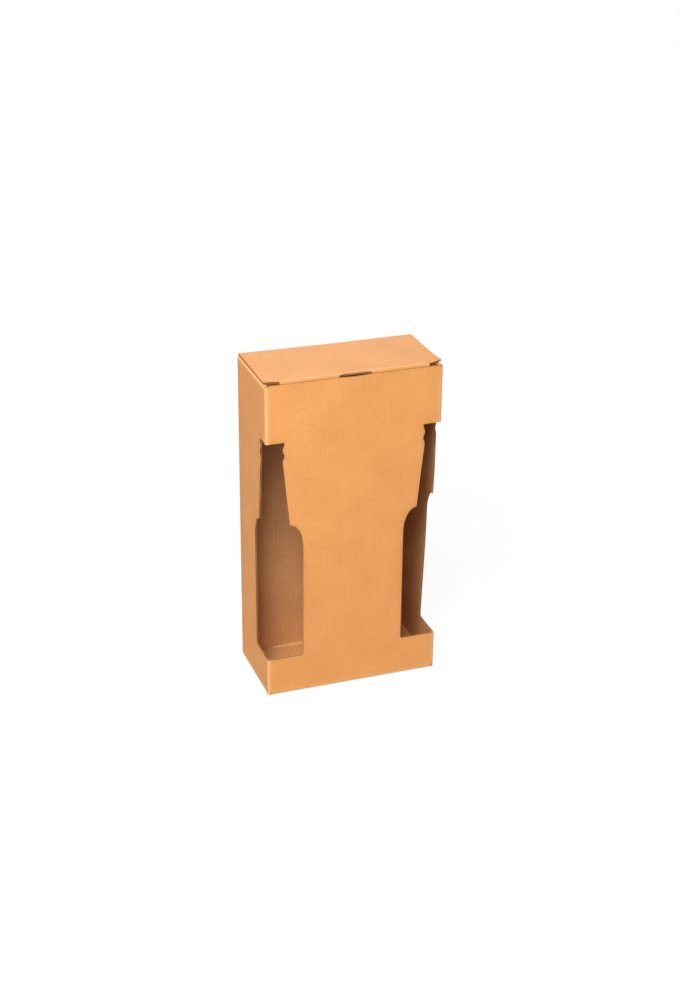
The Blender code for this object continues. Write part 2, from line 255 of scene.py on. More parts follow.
def inset(outline: Array, distance: float) -> Array:
    """Move the points of an outline inwards.

    Args:
        outline: corners of the closed outline, counterclockwise.
        distance: how far they move.

    Returns:
        Each point + distance * the mean normal of the two runs that meet there.
    """
    ahead = np.roll(outline, -1, axis=0) - outline
    ahead /= np.linalg.norm(ahead, axis=1)[:, None]
    tangent = ahead + np.roll(ahead, 1, axis=0)
    tangent /= np.maximum(np.linalg.norm(tangent, axis=1)[:, None], LEAST_LENGTH)
    return outline + distance * np.column_stack([-tangent[:, 1], tangent[:, 0]])


def inside(points: Array, outline: Array) -> Array:
    """Test which points lie inside an outline.

    Args:
        points: the points, one row each.
        outline: corners of the closed outline.

    Returns:
        True where a ray from the point towards +u crosses the outline an odd number of times.
    """
    a, b = outline, np.roll(outline, -1, axis=0)
    u, v = points[:, :1], points[:, 1:]
    spans = (a[:, 1] > v) != (b[:, 1] > v)
    rise = np.where(b[:, 1] == a[:, 1], 1.0, b[:, 1] - a[:, 1])
    cross_u = a[:, 0] + (v - a[:, 1]) / rise * (b[:, 0] - a[:, 0])
    return np.count_nonzero(spans & (u < cross_u), axis=1) % 2 == 1


def distance_to_runs(points: Array, starts: Array, ends: Array) -> Array:
    """Least distance from each point to a set of straight runs.

    Args:
        points: the points, one row each.
        starts: first ends of the runs.
        ends: second ends of the runs.

    Returns:
        For each point the least length of point - (start + t * run), with t kept from 0 to 1.
    """
    if len(starts) == 0:
        return np.full(len(points), FAR)
    run = ends - starts
    from_start = points[:, None, :] - starts[None, :, :]
    t = np.clip((from_start * run).sum(2) / (run * run).sum(1), 0.0, 1.0)
    return np.sqrt(((from_start - t[:, :, None] * run) ** 2).sum(2).min(1))


def lines_at(places: Array, start: float, end: float) -> Array:
    """Two points for each place: (place, start) and (place, end)."""
    return np.column_stack([np.repeat(places, 2), np.tile((start, end), len(places))])


def trim(outline: Array, columns: Array, rows: Array, extra: Array) -> tuple[Array, Array]:
    """Cut a grid to an outline.

    The grid's lines and the outline's runs are all kept as edges of one triangle mesh, which is
    made in millimetres, and the triangles whose centre lies outside the outline are dropped.

    Args:
        outline: corners of the closed outline, counterclockwise.
        columns: places of the grid's lines of equal u.
        rows: places of the grid's lines of equal v.
        extra: further points to use, one row each.

    Returns:
        The points and the triangles, counterclockwise.
    """
    per_metre, margin, tolerance = 1000.0, 0.001, 1e-4
    low, high = outline.min(0) - margin, outline.max(0) + margin
    upright = lines_at(columns, low[1], high[1])
    level = lines_at(rows, low[0], high[0])[:, ::-1]
    count = len(outline)
    ring = np.column_stack([np.arange(count), np.roll(np.arange(count), -1)])
    lines = count + np.arange(len(upright) + len(level)).reshape(-1, 2)
    points = np.vstack([outline, upright, level, extra]) * per_metre
    edges = np.vstack([ring, lines])
    made = delaunay_2d_cdt(points.tolist(), edges.tolist(), [], 0, tolerance, False)
    flat = np.array([tuple(point) for point in made[0]]) / per_metre
    triangles = np.array(made[2], dtype=int)
    triangles = triangles[inside(flat[triangles].mean(1), outline)]
    used, index = np.unique(triangles, return_inverse=True)
    flat, triangles = flat[used], index.reshape(-1, 3)
    first, second = (flat[triangles[:, k]] - flat[triangles[:, 0]] for k in (1, 2))
    area = first[:, 0] * second[:, 1] - first[:, 1] * second[:, 0]
    triangles[area < 0] = triangles[area < 0][:, ::-1]
    return flat, triangles[np.abs(area) > LEAST_AREA]


def grid_triangles(rows: int, columns: int) -> Array:
    """Split each cell of a grid, whose points are numbered row by row, into two triangles.

    Args:
        rows: number of rows of points.
        columns: number of points in a row.

    Returns:
        For each cell (corner, next, above) and (next, next above, above).
    """
    corner = (np.arange(rows - 1)[:, None] * columns + np.arange(columns - 1)).ravel()
    first = np.column_stack([corner, corner + 1, corner + columns])
    second = np.column_stack([corner + 1, corner + columns + 1, corner + columns])
    return np.vstack([first, second])


def thicken(outer: Array, inner: Array, triangles: Array, place_outer: Array, place_inner: Array,
            papers: tuple[Face, Face, Face], crease: Array, rim: Array) -> Body:
    """Close the space between two surfaces that share their triangles.

    An edge that only one triangle uses gets a wall of two triangles between the surfaces.

    Args:
        outer: points of the outer surface.
        inner: points of the inner surface, one for each outer one.
        triangles: triangles of the outer surface, seen counterclockwise from outside.
        place_outer: sheet places of the outer points.
        place_inner: sheet places of the inner points.
        papers: the papers of the outer surface, the inner one and the walls.
        crease: crease value of each outer point.
        rim: rim value of each outer point.

    Returns:
        The closed body.
    """
    count = len(outer)
    edges = np.vstack([triangles[:, [0, 1]], triangles[:, [1, 2]], triangles[:, [2, 0]]])
    _, index, uses = np.unique(np.sort(edges, axis=1), axis=0,
                               return_inverse=True, return_counts=True)
    i, j = edges[uses[index.ravel()] == 1].T
    walls = np.vstack([
        np.column_stack([i, i + count, j + count]),
        np.column_stack([i, j + count, j]),
    ])
    counts = [len(triangles), len(triangles), len(walls)]
    return Body(
        points=np.vstack([outer, inner]),
        triangles=np.vstack([triangles, triangles[:, ::-1] + count, walls]),
        faces=np.repeat([paper.value for paper in papers], counts),
        place=np.vstack([place_outer, place_inner]),
        crease=np.tile(crease, 2),
        rim=np.tile(rim, 2),
    )


def mesh_piece(name: str, bodies: Sequence[Body],
               materials: Sequence[bpy.types.Material]) -> bpy.types.Object:
    """Put closed bodies into one mesh object at the origin.

    Args:
        name: the piece's name.
        bodies: its closed surfaces.
        materials: one for each member of Face.

    Returns:
        The new object, linked to the scene.
    """
    starts = np.cumsum([0] + [len(body.points) for body in bodies[:-1]])
    points = np.vstack([body.points for body in bodies])
    triangles = np.vstack([body.triangles + start for body, start in zip(bodies, starts)])
    mesh = bpy.data.meshes.new(name)
    mesh.from_pydata(points, [], triangles)
    for material in materials:
        mesh.materials.append(material)
    papers = np.concatenate([body.faces for body in bodies]).astype(np.int32)
    mesh.polygons.foreach_set("material_index", papers)
    places = np.vstack([body.place for body in bodies]).astype(np.float32)
    layer = mesh.attributes.new(PLACE_LAYER, "FLOAT_VECTOR", "POINT")
    layer.data.foreach_set("vector", places.ravel())
    for layer_name, values in ((CREASE_LAYER, [body.crease for body in bodies]),
                               (RIM_LAYER, [body.rim for body in bodies])):
        layer = mesh.attributes.new(layer_name, "FLOAT", "POINT")
        layer.data.foreach_set("value", np.concatenate(values).astype(np.float32))
    mesh.shade_smooth()
    mesh.set_sharp_from_angle(angle=SHARP_ANGLE)
    piece = bpy.data.objects.new(name, mesh)
    bpy.context.scene.collection.objects.link(piece)
    return piece


@dataclass(frozen=True)
class Score:
    """A score line at a sheet's edge: the axis that it crosses, its place and its crease value."""

    axis: int
    place: float
    crease: float = 0.5


@dataclass(frozen=True)
class Sheet:
    """One flat piece of board between score lines and cut edges.

    The shift carries the papers' pattern on from the next piece of the blank, and the layer is a
    depth in that pattern, which sets apart the pieces that it doesn't run on to. The warp is how
    far each point moves inwards, and the bend rows are values of v that the mesh has lines at.
    """

    name: str
    outline: Array
    stand: Stand
    scores: tuple[Score, ...] = ()
    shift: tuple[float, float] = (0.0, 0.0)
    layer: float = 0.0
    flutes_along_score: bool = False
    warp: Optional[Warp] = None
    bend_rows: tuple[float, ...] = ()
    inner_face_out: bool = False

    def marks(self, board: Board, flat: Array, outline: Array) -> tuple[Array, Array, Array]:
        """Work out each point's distance to the cut edges, its crease value and its rim value.

        The crease value is a smooth step from the score's own value to 0 at the crease's spread.
        The rim value is e to the power of minus distance over fade.

        Args:
            board: the kind of board.
            flat: the points in the sheet.
            outline: the sheet's outline.

        Returns:
            Distance to the cut edges, crease value and rim value of each point.
        """
        ahead = np.roll(outline, -1, axis=0)
        cut = np.ones(len(outline), bool)
        crease = np.zeros(len(flat))
        runs = np.stack([outline, ahead])
        for score in self.scores:
            on_score = (np.abs(runs[:, :, score.axis] - score.place) < ROUNDING).all(0)
            if not on_score.any():
                continue
            gap = distance_to_runs(flat, outline[on_score], ahead[on_score])
            crease = np.maximum(crease, score.crease * (1 - smooth(gap / board.crease_spread)))
            cut &= ~on_score
        gap = distance_to_runs(flat, outline[cut], ahead[cut])
        return gap, crease, np.exp(-gap / board.rim_fade)

    def solid(self, flat: Array, triangles: Array, depth: tuple[Array, Array],
              papers: tuple[Face, Face, Face], marks: tuple[Array, Array, Array]) -> Body:
        """Close one paper between two depths, with the sheet's warp added to both.

        Args:
            flat: its points in the sheet.
            triangles: its triangles.
            depth: outer and inner depth of each point.
            papers: papers of the outer face, the inner face and the walls.
            marks: what marks() gives for these points.

        Returns:
            The closed body in the frame's axes.
        """
        u, v = flat.T
        lift = self.warp(u, v) if self.warp else np.zeros(len(flat))
        across, along = (v, u) if self.flutes_along_score else (u, v)
        across, along = across + self.shift[0], along + self.shift[1]
        places = [np.column_stack([across, along, level + self.layer]) for level in depth]
        outer, inner = (self.stand.place(u, v, level + lift) for level in depth)
        return thicken(outer, inner, triangles, *places, papers, *marks[1:])

    def build(self, board: Board, materials: Sequence[bpy.types.Material]) -> bpy.types.Object:
        """Make the three papers of this piece of board.

        Both liners are the sheet's outline with its depth pinched near cut edges. The wavy paper's
        depth is half the board's thickness + amplitude * cosine(2 pi u / pitch).

        Args:
            board: the kind of board.
            materials: one for each member of Face.

        Returns:
            The finished piece.
        """
        outline = refined(self.outline, board.cell)
        low, high = outline.min(0), outline.max(0)
        counts = ((high - low) / board.cell).astype(int) + 2
        columns, rows = (np.linspace(low[k], high[k], counts[k])[1:-1] for k in (0, 1))
        rows = np.unique(np.concatenate([rows, self.bend_rows]))
        ring = inset(outline, board.pinch_width)
        clear = distance_to_runs(ring, outline, np.roll(outline, -1, axis=0))
        ring = ring[clear > board.ring_share * board.pinch_width]
        flat, triangles = trim(outline, columns, rows, ring)
        marks = self.marks(board, flat, outline)
        pinch = board.pinch * (1 - smooth(marks[0] / board.pinch_width))
        far = board.thickness - pinch
        outside, within = Face.OUTER, Face.INNER
        if self.inner_face_out:
            outside, within = within, outside
        liners = (
            ((pinch, pinch + board.liner), (outside, Face.FLUTING, Face.CUT)),
            ((far - board.liner, far), (Face.FLUTING, within, Face.CUT)),
        )
        bodies = [self.solid(flat, triangles, depth, papers, marks) for depth, papers in liners]
        return mesh_piece(self.name, [*bodies, self.fluting(board, outline)], materials)

    def fluting(self, board: Board, outline: Array) -> Body:
        """Make the wavy paper, a cosine across the flutes and straight along them.

        Its two faces lie half a medium off the wave, measured square to its slope.

        Args:
            board: the kind of board.
            outline: the sheet's outline.

        Returns:
            The wavy paper as a closed body.
        """
        across = 1 if self.flutes_along_score else 0
        step = board.pitch / board.flute_steps
        low, high = outline.min(0), outline.max(0)
        waves = np.arange(math.ceil(low[across] / step), math.floor(high[across] / step) + 1) * step
        bends = np.array(self.bend_rows)
        if self.warp is not None:
            other = 1 - across
            lines = np.linspace(low[other], high[other], board.warp_lines + 2)[1:-1]
            bends = np.unique(np.concatenate([bends, lines]))
        columns, rows = (bends, waves) if across else (waves, bends)
        flat, triangles = trim(outline, columns, rows, np.empty((0, 2)))
        phase = 2 * math.pi * (flat[:, across] + self.shift[0]) / board.pitch
        height = board.thickness / 2 - board.liner - board.medium / 2 - board.pinch
        slope = height * 2 * math.pi / board.pitch * np.sin(phase)
        half = board.medium / 2 * np.sqrt(1 + slope ** 2)
        middle = board.thickness / 2 + height * np.cos(phase)
        papers = (Face.FLUTING, Face.FLUTING, Face.CUT)
        marks = self.marks(board, flat, outline)
        return self.solid(flat, triangles, (middle - half, middle + half), papers, marks)


@dataclass(frozen=True)
class Fold:
    """The crushed board of a score line, bent through a right angle about its outer corner.

    Shift and layer place the papers' pattern as a sheet's do, and turn is its way round the fold.
    A share is a place on the section, from 0 where the fold starts to 1 where it ends. A notch
    takes the start away along the middle of the line, up to a curve from the first of its shares
    to the second and back. The creases are the values at the start, at the peak and at the end.
    """

    name: str
    origin: Sequence[float]
    inward: Array
    outward: Array
    length: float
    shift: tuple[float, float] = (0.0, 0.0)
    turn: float = 1.0
    layer: float = 0.0
    flutes_with_line: bool = False
    notch: float = 0.0
    notch_shares: tuple[float, float] = (0.45, 0.92)
    notch_steps: int = 24
    notch_power: int = 4
    creases: tuple[float, float, float] = (0.5, 1.0, 0.5)
    peak: float = 0.5
    shade: float = 0.0
    shade_end: float = 0.85
    shade_fade: float = 0.45
    bulge: float = 0.0
    start_bulge: float = 0.0
    lift: float = 0.0
    arc_steps: int = 10
    row_step: float = 0.003

    def build(self, board: Board, materials: Sequence[bpy.types.Material]) -> bpy.types.Object:
        """Carry the fold's section along its line.

        The outer path is pushed outwards by bulge * sine of a half turn along it, where the bulge
        of the fold's start falls with the square of the distance to the middle. The far half of
        the fold's end is raised by lift * share * place over half the length.

        Args:
            board: the kind of board.
            materials: one for each member of Face.

        Returns:
            The finished piece.
        """
        outer, inner, share, travel = self.section(board)
        along = self.places_along()
        grid = self.cut_shares(share, along)
        place = 2 * along / self.length
        lifted = self.lift * grid * np.clip(place, 0, 1)
        bulge = self.bulge + self.start_bulge * np.clip(-place, 0, 1) ** 2
        bulged = bulge * np.sin(math.pi * grid)
        axes = np.stack([np.cross(self.inward, self.outward), self.inward, self.outward])
        surfaces = []
        for path, push in ((outer, lifted + bulged), (inner, lifted)):
            sideways, outwards = (np.interp(grid, share, path[:, k]) for k in (0, 1))
            rows = np.broadcast_to(along, grid.shape)
            section = np.stack([rows, sideways, outwards + push], axis=2)
            surfaces.append(np.asarray(self.origin) + section.reshape(-1, 3) @ axes)
        shares = grid.ravel()
        across = self.shift[0] + self.turn * travel * shares
        lengthwise = self.shift[1] + np.tile(along, len(share))
        pair = (across, lengthwise) if self.flutes_with_line else (lengthwise, across)
        places = [np.column_stack([*pair, np.full(len(across), level + self.layer)])
                  for level in (0.0, board.thickness)]
        papers = (Face.OUTER, Face.INNER, Face.CUT)
        triangles = self.kept_triangles(share, along)
        body = thicken(*surfaces, triangles, *places, papers, *self.marks(shares))
        return mesh_piece(self.name, [body], materials)

    def section(self, board: Board) -> tuple[Array, Array, Array, float]:
        """Draw the fold's section, sideways and outwards from its corner.

        The outer path is a landing, a quarter circle and a landing. The inner path is a quadratic
        curve between the two inner faces, with a bead that bulges into the corner.

        Args:
            board: the kind of board.

        Returns:
            The outer path, the inner path, each point's share of the outer one, and its length.
        """
        radius, thick, flat = board.fold_radius, board.thickness, board.flat
        round_part = arc((radius, -radius), radius, 180, 90, self.arc_steps)
        outer = np.vstack([[0.0, -flat], round_part, [flat, 0.0]])
        runs = np.linalg.norm(np.diff(outer, axis=0), axis=1)
        travel = np.concatenate([[0.0], np.cumsum(runs)])
        share = travel / travel[-1]
        corner = thick + board.bead + (flat - thick) / 2
        knots = np.array([[thick, -flat], [corner, -corner], [flat, -thick]])
        weights = np.column_stack([(1 - share) ** 2, 2 * share * (1 - share), share ** 2])
        return outer, weights @ knots, share, travel[-1]

    def places_along(self) -> Array:
        """Space the section's places evenly along the line, and more closely inside the notch.

        Returns:
            Distances from the fold's middle, in order.
        """
        count = max(int(self.length / self.row_step), 1)
        along = np.linspace(-self.length / 2, self.length / 2, count + 1)
        if not self.notch:
            return along
        beside = along[np.abs(along) > self.notch / 2 + ROUNDING]
        within = np.linspace(-self.notch / 2, self.notch / 2, self.notch_steps + 1)
        return np.sort(np.concatenate([beside, within]))

    def marks(self, share: Array) -> tuple[Array, Array]:
        """Work out the crease value and the shade at shares of the section.

        The crease value goes by smooth steps through its three values, at the start, the peak and
        the end. The shade is a smooth step down to its end.

        Args:
            share: shares of the section.

        Returns:
            The crease value and the shade of each.
        """
        start, middle, end = self.creases
        rising = start + (middle - start) * smooth(share / self.peak)
        falling = end + (middle - end) * smooth((1 - share) / (1 - self.peak))
        crease = np.where(share < self.peak, rising, falling)
        return crease, self.shade * smooth((self.shade_end - share) / self.shade_fade)

    def kept_triangles(self, share: Array, along: Array) -> Array:
        """Leave out the triangles that the notch takes away.

        Args:
            share: the rows' shares of the section.
            along: the places along the fold.

        Returns:
            The triangles whose centre lies past the notch's foot or beside the notch.
        """
        triangles = grid_triangles(len(share), len(along))
        points = np.column_stack([np.repeat(share, len(along)), np.tile(along, len(share))])
        centre = points[triangles].mean(1)
        past, beside = centre[:, 0] > self.kept_row(share), np.abs(centre[:, 1]) > self.notch / 2
        return triangles[past | beside]

    def kept_row(self, share: Array) -> float:
        """Share of the first row that the notch leaves whole."""
        return share[np.searchsorted(share, self.notch_shares[0])]

    def cut_shares(self, share: Array, along: Array) -> Array:
        """Work out the shares of the section's rows at each place along the fold.

        Inside the notch the rows above its foot are squeezed towards the fold's end, so that the
        first of them follows foot + (top - foot) * (1 - (place / half the notch)^power).

        Args:
            share: the rows' shares of the section.
            along: the places along the fold.

        Returns:
            One row for each share and one column for each place.
        """
        grid = np.repeat(share[:, None], len(along), axis=1)
        if not self.notch:
            return grid
        foot = self.kept_row(share)
        hollow = np.clip(1 - (2 * along / self.notch) ** self.notch_power, 0, 1)
        edge = foot + (self.notch_shares[1] - foot) * hollow
        squeezed = edge + (1 - edge) * (grid - foot) / (1 - foot)
        return np.where(grid >= foot, squeezed, grid)


class Wire:
    """An output socket that does arithmetic: each operation adds its Math node to the tree."""

    def __init__(self, tree: ShaderTree, socket: bpy.types.NodeSocket) -> None:
        """Keep the tree and the socket."""
        self.tree = tree
        self.socket = socket

    def math(self, operation: str, *values: Value) -> Wire:
        """Add a Math node with this wire as its first value."""
        inputs = dict(enumerate((self, *values)))
        return self.tree.node("ShaderNodeMath", {"operation": operation}, inputs)

    def __add__(self, other: Value) -> Wire:
        """This wire plus a value."""
        return self.math("ADD", other)

    __radd__ = __add__

    def __mul__(self, other: Value) -> Wire:
        """This wire times a value."""
        return self.math("MULTIPLY", other)

    __rmul__ = __mul__

    def __sub__(self, other: Value) -> Wire:
        """This wire minus a value."""
        return self.math("SUBTRACT", other)

    def __rsub__(self, other: Value) -> Wire:
        """A value minus this wire."""
        return self.tree.node("ShaderNodeMath", {"operation": "SUBTRACT"}, {0: other, 1: self})

    def cosine(self) -> Wire:
        """Cosine of this wire, in radians."""
        return self.math("COSINE")

    def between(self, low: float, high: float) -> Wire:
        """Smooth step of this wire: 0 at low, 1 at high."""
        inputs = {"Value": self, "From Min": low, "From Max": high}
        return self.tree.node("ShaderNodeMapRange", {"interpolation_type": "SMOOTHSTEP"}, inputs)


Value = Union[Wire, float]
Tint = Union[Wire, Colour]


class ShaderTree:
    """A material or a sky under construction, whose nodes are all added by one method."""

    def __init__(self, tree: bpy.types.NodeTree) -> None:
        """Start with an empty tree."""
        self.tree = tree
        self.tree.nodes.clear()

    @classmethod
    def material(cls, name: str) -> tuple[bpy.types.Material, ShaderTree]:
        """Make a material with an empty tree.

        Args:
            name: the material's name.

        Returns:
            The material and its tree.
        """
        material = bpy.data.materials.new(name)
        material.use_nodes = True
        return material, cls(material.node_tree)

    def node(self, kind: str, settings: Optional[dict] = None, inputs: Optional[dict] = None,
             output: Union[int, str] = 0) -> Wire:
        """Add a node.

        Args:
            kind: the node's type.
            settings: its settings, which are made first.
            inputs: value or wire for each of its sockets, by name or number.
            output: the socket to give back.

        Returns:
            The wire of that output.
        """
        made = self.tree.nodes.new(kind)
        for name, value in (settings or {}).items():
            setattr(made, name, value)
        for name, value in (inputs or {}).items():
            if isinstance(value, Wire):
                self.tree.links.new(value.socket, made.inputs[name])
            else:
                made.inputs[name].default_value = value
        return Wire(self, made.outputs[output] if made.outputs else None)

    def mix(self, share: Value, first: Tint, second: Tint) -> Wire:
        """Mix two colours.

        Args:
            share: 0 for the first colour, 1 for the second.
            first: a colour or the wire of one.
            second: a colour or the wire of one.

        Returns:
            The wire of the mixed colour. The node's colours are its sockets 6, 7 and, out, 2.
        """
        colours = [(*tint, 1.0) if isinstance(tint, tuple) else tint for tint in (first, second)]
        inputs = {0: share, 6: colours[0], 7: colours[1]}
        return self.node("ShaderNodeMix", {"data_type": "RGBA"}, inputs, 2)

    def stretched(self, place: Wire, size: tuple[float, float, float], angle: float) -> Wire:
        """Turn a place about the third axis and divide it by a size along each axis.

        Args:
            place: the place's wire.
            size: the length along each axis that becomes 1.
            angle: the turn in degrees.

        Returns:
            The wire of the new place.
        """
        inputs = {"Vector": place, "Rotation": (0.0, 0.0, math.radians(angle)), "Scale": size}
        return self.node("ShaderNodeMapping", {"vector_type": "TEXTURE"}, inputs)

    def noise(self, place: Wire, scale: float, detail: float = 2.0, rough: float = 0.5) -> Wire:
        """Noise from 0 to 1 at a place."""
        inputs = {"Vector": place, "Scale": scale, "Detail": detail, "Roughness": rough}
        return self.node("ShaderNodeTexNoise", {}, inputs)


@dataclass(frozen=True)
class Kraft:
    """Finish of one paper: its colours, and the size and strength of each of its marks.

    A size is metres, a density is cells per metre, a share is how much of its colour a mark lays
    on, and a range is the two levels of a noise between which its mark goes from none to full.
    The washboard is how the flutes show through.
    """

    name: str
    light: Colour
    dark: Colour
    # painted highlight along score lines, partly the lighter stretched paper of a fold
    crease: Colour
    # dark specks and fibres, and also the colour of the darkening near cut edges and of the painted
    # shade on folds
    fleck_and_shade: Colour
    pale_fleck: Colour
    roughness: float = 0.80
    gloss: float = 0.28
    cloud_size: float = 0.030
    mottle_size: float = 0.0024
    streak_size: tuple[float, float] = (0.0011, 0.045)
    cloud_share: float = 0.44
    mottle_share: float = 0.40
    streak_share: float = 0.16
    tone_range: tuple[float, float] = (0.26, 0.74)
    fibre_size: tuple[float, float] = (0.0016, 0.00011)
    fibre_angles: tuple[float, ...] = (-62.0, -21.0, 9.0, 38.0, 74.0, 128.0)
    fibre_layer: float = 0.1
    fibre_range: tuple[float, float] = (0.665, 0.74)
    fibre_share: float = 0.34
    fleck_density: float = 420.0
    fleck_range: tuple[float, float] = (0.05, 0.13)
    fleck_choice: tuple[float, float] = (0.86, 0.93)
    fleck_share: float = 0.75
    # how the crease value lays on the painted highlight, partly wear of the stretched paper
    highlight_and_wear_even: float = 0.55
    highlight_and_wear_mottled: float = 0.45
    highlight_and_wear_range: tuple[float, float] = (0.15, 0.95)
    highlight_and_wear_share: float = 0.8
    rim_shade: float = 0.10
    washboard: float = 0.05
    washboard_depth: float = 0.000022
    washboard_bump: float = 0.5
    tooth: float = 0.000028
    tooth_density: float = 5200.0
    mottle_bump: float = 0.8
    fibre_bump: float = 0.5
    bump_strength: float = 0.8
    rough_mottled: float = 0.10
    rough_worn: float = 0.06
    pitch: float = FLUTE_PITCH

    def material(self) -> bpy.types.Material:
        """Make the paper's material from its fibres and flutes, a highlight along score lines that
        is partly stretched paper and partly painted, darkening near cut edges and painted shade on
        folds.

        Returns:
            The material.
        """
        material, tree = ShaderTree.material(self.name)
        layers = ((PLACE_LAYER, "Vector"), (CREASE_LAYER, "Fac"), (RIM_LAYER, "Fac"))
        place, crease, rim = (
            tree.node("ShaderNodeAttribute", {"attribute_name": layer}, output=output)
            for layer, output in layers
        )
        across = tree.node("ShaderNodeSeparateXYZ", {}, {0: place})

        clouds = tree.noise(place, 1 / self.cloud_size, detail=3.0)
        mottle = tree.noise(place, 1 / self.mottle_size, detail=4.0, rough=0.62)
        streaks = tree.stretched(place, (*self.streak_size, 1.0), angle=0.0)
        streaks = tree.noise(streaks, 1.0, detail=3.0)
        flute = (across * (2 * math.pi / self.pitch)).cosine()
        tone = (clouds * self.cloud_share + mottle * self.mottle_share + streaks * self.streak_share
                + flute * clouds * self.washboard)
        colour = tree.mix(tone.between(*self.tone_range), self.light, self.dark)

        pale, dark = self.fibres(tree, place)
        colour = tree.mix(pale * self.fibre_share, colour, self.pale_fleck)
        colour = tree.mix(dark * self.fibre_share, colour, self.fleck_and_shade)
        colour = tree.mix(self.flecks(tree, place) * self.fleck_share, colour, self.fleck_and_shade)
        # painted highlight along score lines, partly the lighter stretched paper of a fold
        highlight_and_wear = (crease * (self.highlight_and_wear_even + self.highlight_and_wear_mottled * mottle)).between(*self.highlight_and_wear_range)
        colour = tree.mix(highlight_and_wear * self.highlight_and_wear_share, colour, self.crease)
        # darker towards cut edges, and painted shade on a fold where its rim value is above 1
        colour = tree.mix(rim * self.rim_shade, colour, self.fleck_and_shade)

        fine = tree.noise(place, self.tooth_density, detail=3.0, rough=0.6)
        height = (fine * self.tooth + mottle * (self.mottle_bump * self.tooth)
                  + flute * (self.washboard_bump * self.washboard_depth)
                  + (pale - dark) * (self.fibre_bump * self.tooth))
        inputs = {"Height": height, "Distance": 1.0, "Strength": self.bump_strength}
        bump = tree.node("ShaderNodeBump", {}, inputs)
        rough = self.roughness + self.rough_mottled * (mottle - 0.5) - self.rough_worn * highlight_and_wear
        shader = tree.node("ShaderNodeBsdfPrincipled", {}, {
            "Base Color": colour, "Roughness": rough, "Normal": bump,
            "Specular IOR Level": self.gloss,
        })
        tree.node("ShaderNodeOutputMaterial", {}, {"Surface": shader})
        return material

    def fibres(self, tree: ShaderTree, place: Wire) -> tuple[Wire, Wire]:
        """Draw fibres: narrow bands of stretched noise, crossed at several angles.

        Args:
            tree: the material's tree.
            place: the wire of the place in the sheet.

        Returns:
            Masks of the pale fibres and of the dark ones, which take turns in the angles.
        """
        masks = []
        for number, angle in enumerate(self.fibre_angles):
            size = (*self.fibre_size, 1.0 + self.fibre_layer * number)
            turned = tree.stretched(place, size, angle)
            masks.append(tree.noise(turned, 1.0, detail=1.0).between(*self.fibre_range))
        pale, dark = (first + second + third for first, second, third in (masks[::2], masks[1::2]))
        return pale.math("MINIMUM", 1.0), dark.math("MINIMUM", 1.0)

    def flecks(self, tree: ShaderTree, place: Wire) -> Wire:
        """Draw sparse dark specks of bark: the middles of some cells of a point pattern.

        Args:
            tree: the material's tree.
            place: the wire of the place in the sheet.

        Returns:
            The specks' mask.
        """
        settings = {"feature": "F1"}
        inputs = {"Vector": place, "Scale": self.fleck_density, "Randomness": 1.0}
        near = tree.node("ShaderNodeTexVoronoi", settings, inputs, "Distance")
        pick = tree.node("ShaderNodeTexVoronoi", settings, inputs, "Color")
        chosen = tree.node("ShaderNodeSeparateXYZ", {}, {0: pick}).between(*self.fleck_choice)
        return (1.0 - near.between(*self.fleck_range)) * chosen


@dataclass(frozen=True)
class Papers:
    """The finishes of the board's papers."""

    outer: Kraft = Kraft(
        name="kraft_outer_paper", light=(0.895, 0.395, 0.120), dark=(0.765, 0.318, 0.084),
        crease=(0.980, 0.530, 0.215), fleck_and_shade=(0.330, 0.130, 0.045), pale_fleck=(0.960, 0.540, 0.240),
        roughness=0.62, gloss=0.5, washboard=0.02, washboard_depth=0.000010,
    )
    inner: Kraft = Kraft(
        name="kraft_inner_paper", light=(0.720, 0.370, 0.165), dark=(0.580, 0.275, 0.110),
        crease=(0.800, 0.480, 0.250), fleck_and_shade=(0.250, 0.105, 0.045), pale_fleck=(0.840, 0.520, 0.290),
        washboard=0.06, washboard_depth=0.000020,
    )
    fluting: Kraft = Kraft(
        name="fluting_paper", light=(0.560, 0.290, 0.125), dark=(0.430, 0.205, 0.080),
        crease=(0.560, 0.290, 0.125), fleck_and_shade=(0.180, 0.075, 0.030), pale_fleck=(0.640, 0.370, 0.190),
        washboard=0.0, washboard_depth=0.0,
    )
    # The cut edges are darker than the faces: partly the raw edge's own colour, partly painted
    # shade of the flutes' hollows.
    cut: Kraft = Kraft(
        name="cut_edge_paper_and_painted_shade", light=(0.640, 0.290, 0.085), dark=(0.480, 0.200, 0.050),
        crease=(0.640, 0.290, 0.085), fleck_and_shade=(0.170, 0.070, 0.028), pale_fleck=(0.620, 0.340, 0.160),
        washboard=0.0, washboard_depth=0.0, rim_shade=0.0,
    )

    def materials(self) -> list[bpy.types.Material]:
        """Make one material for each member of Face, in its order."""
        return [paper.material() for paper in (self.outer, self.inner, self.fluting, self.cut)]


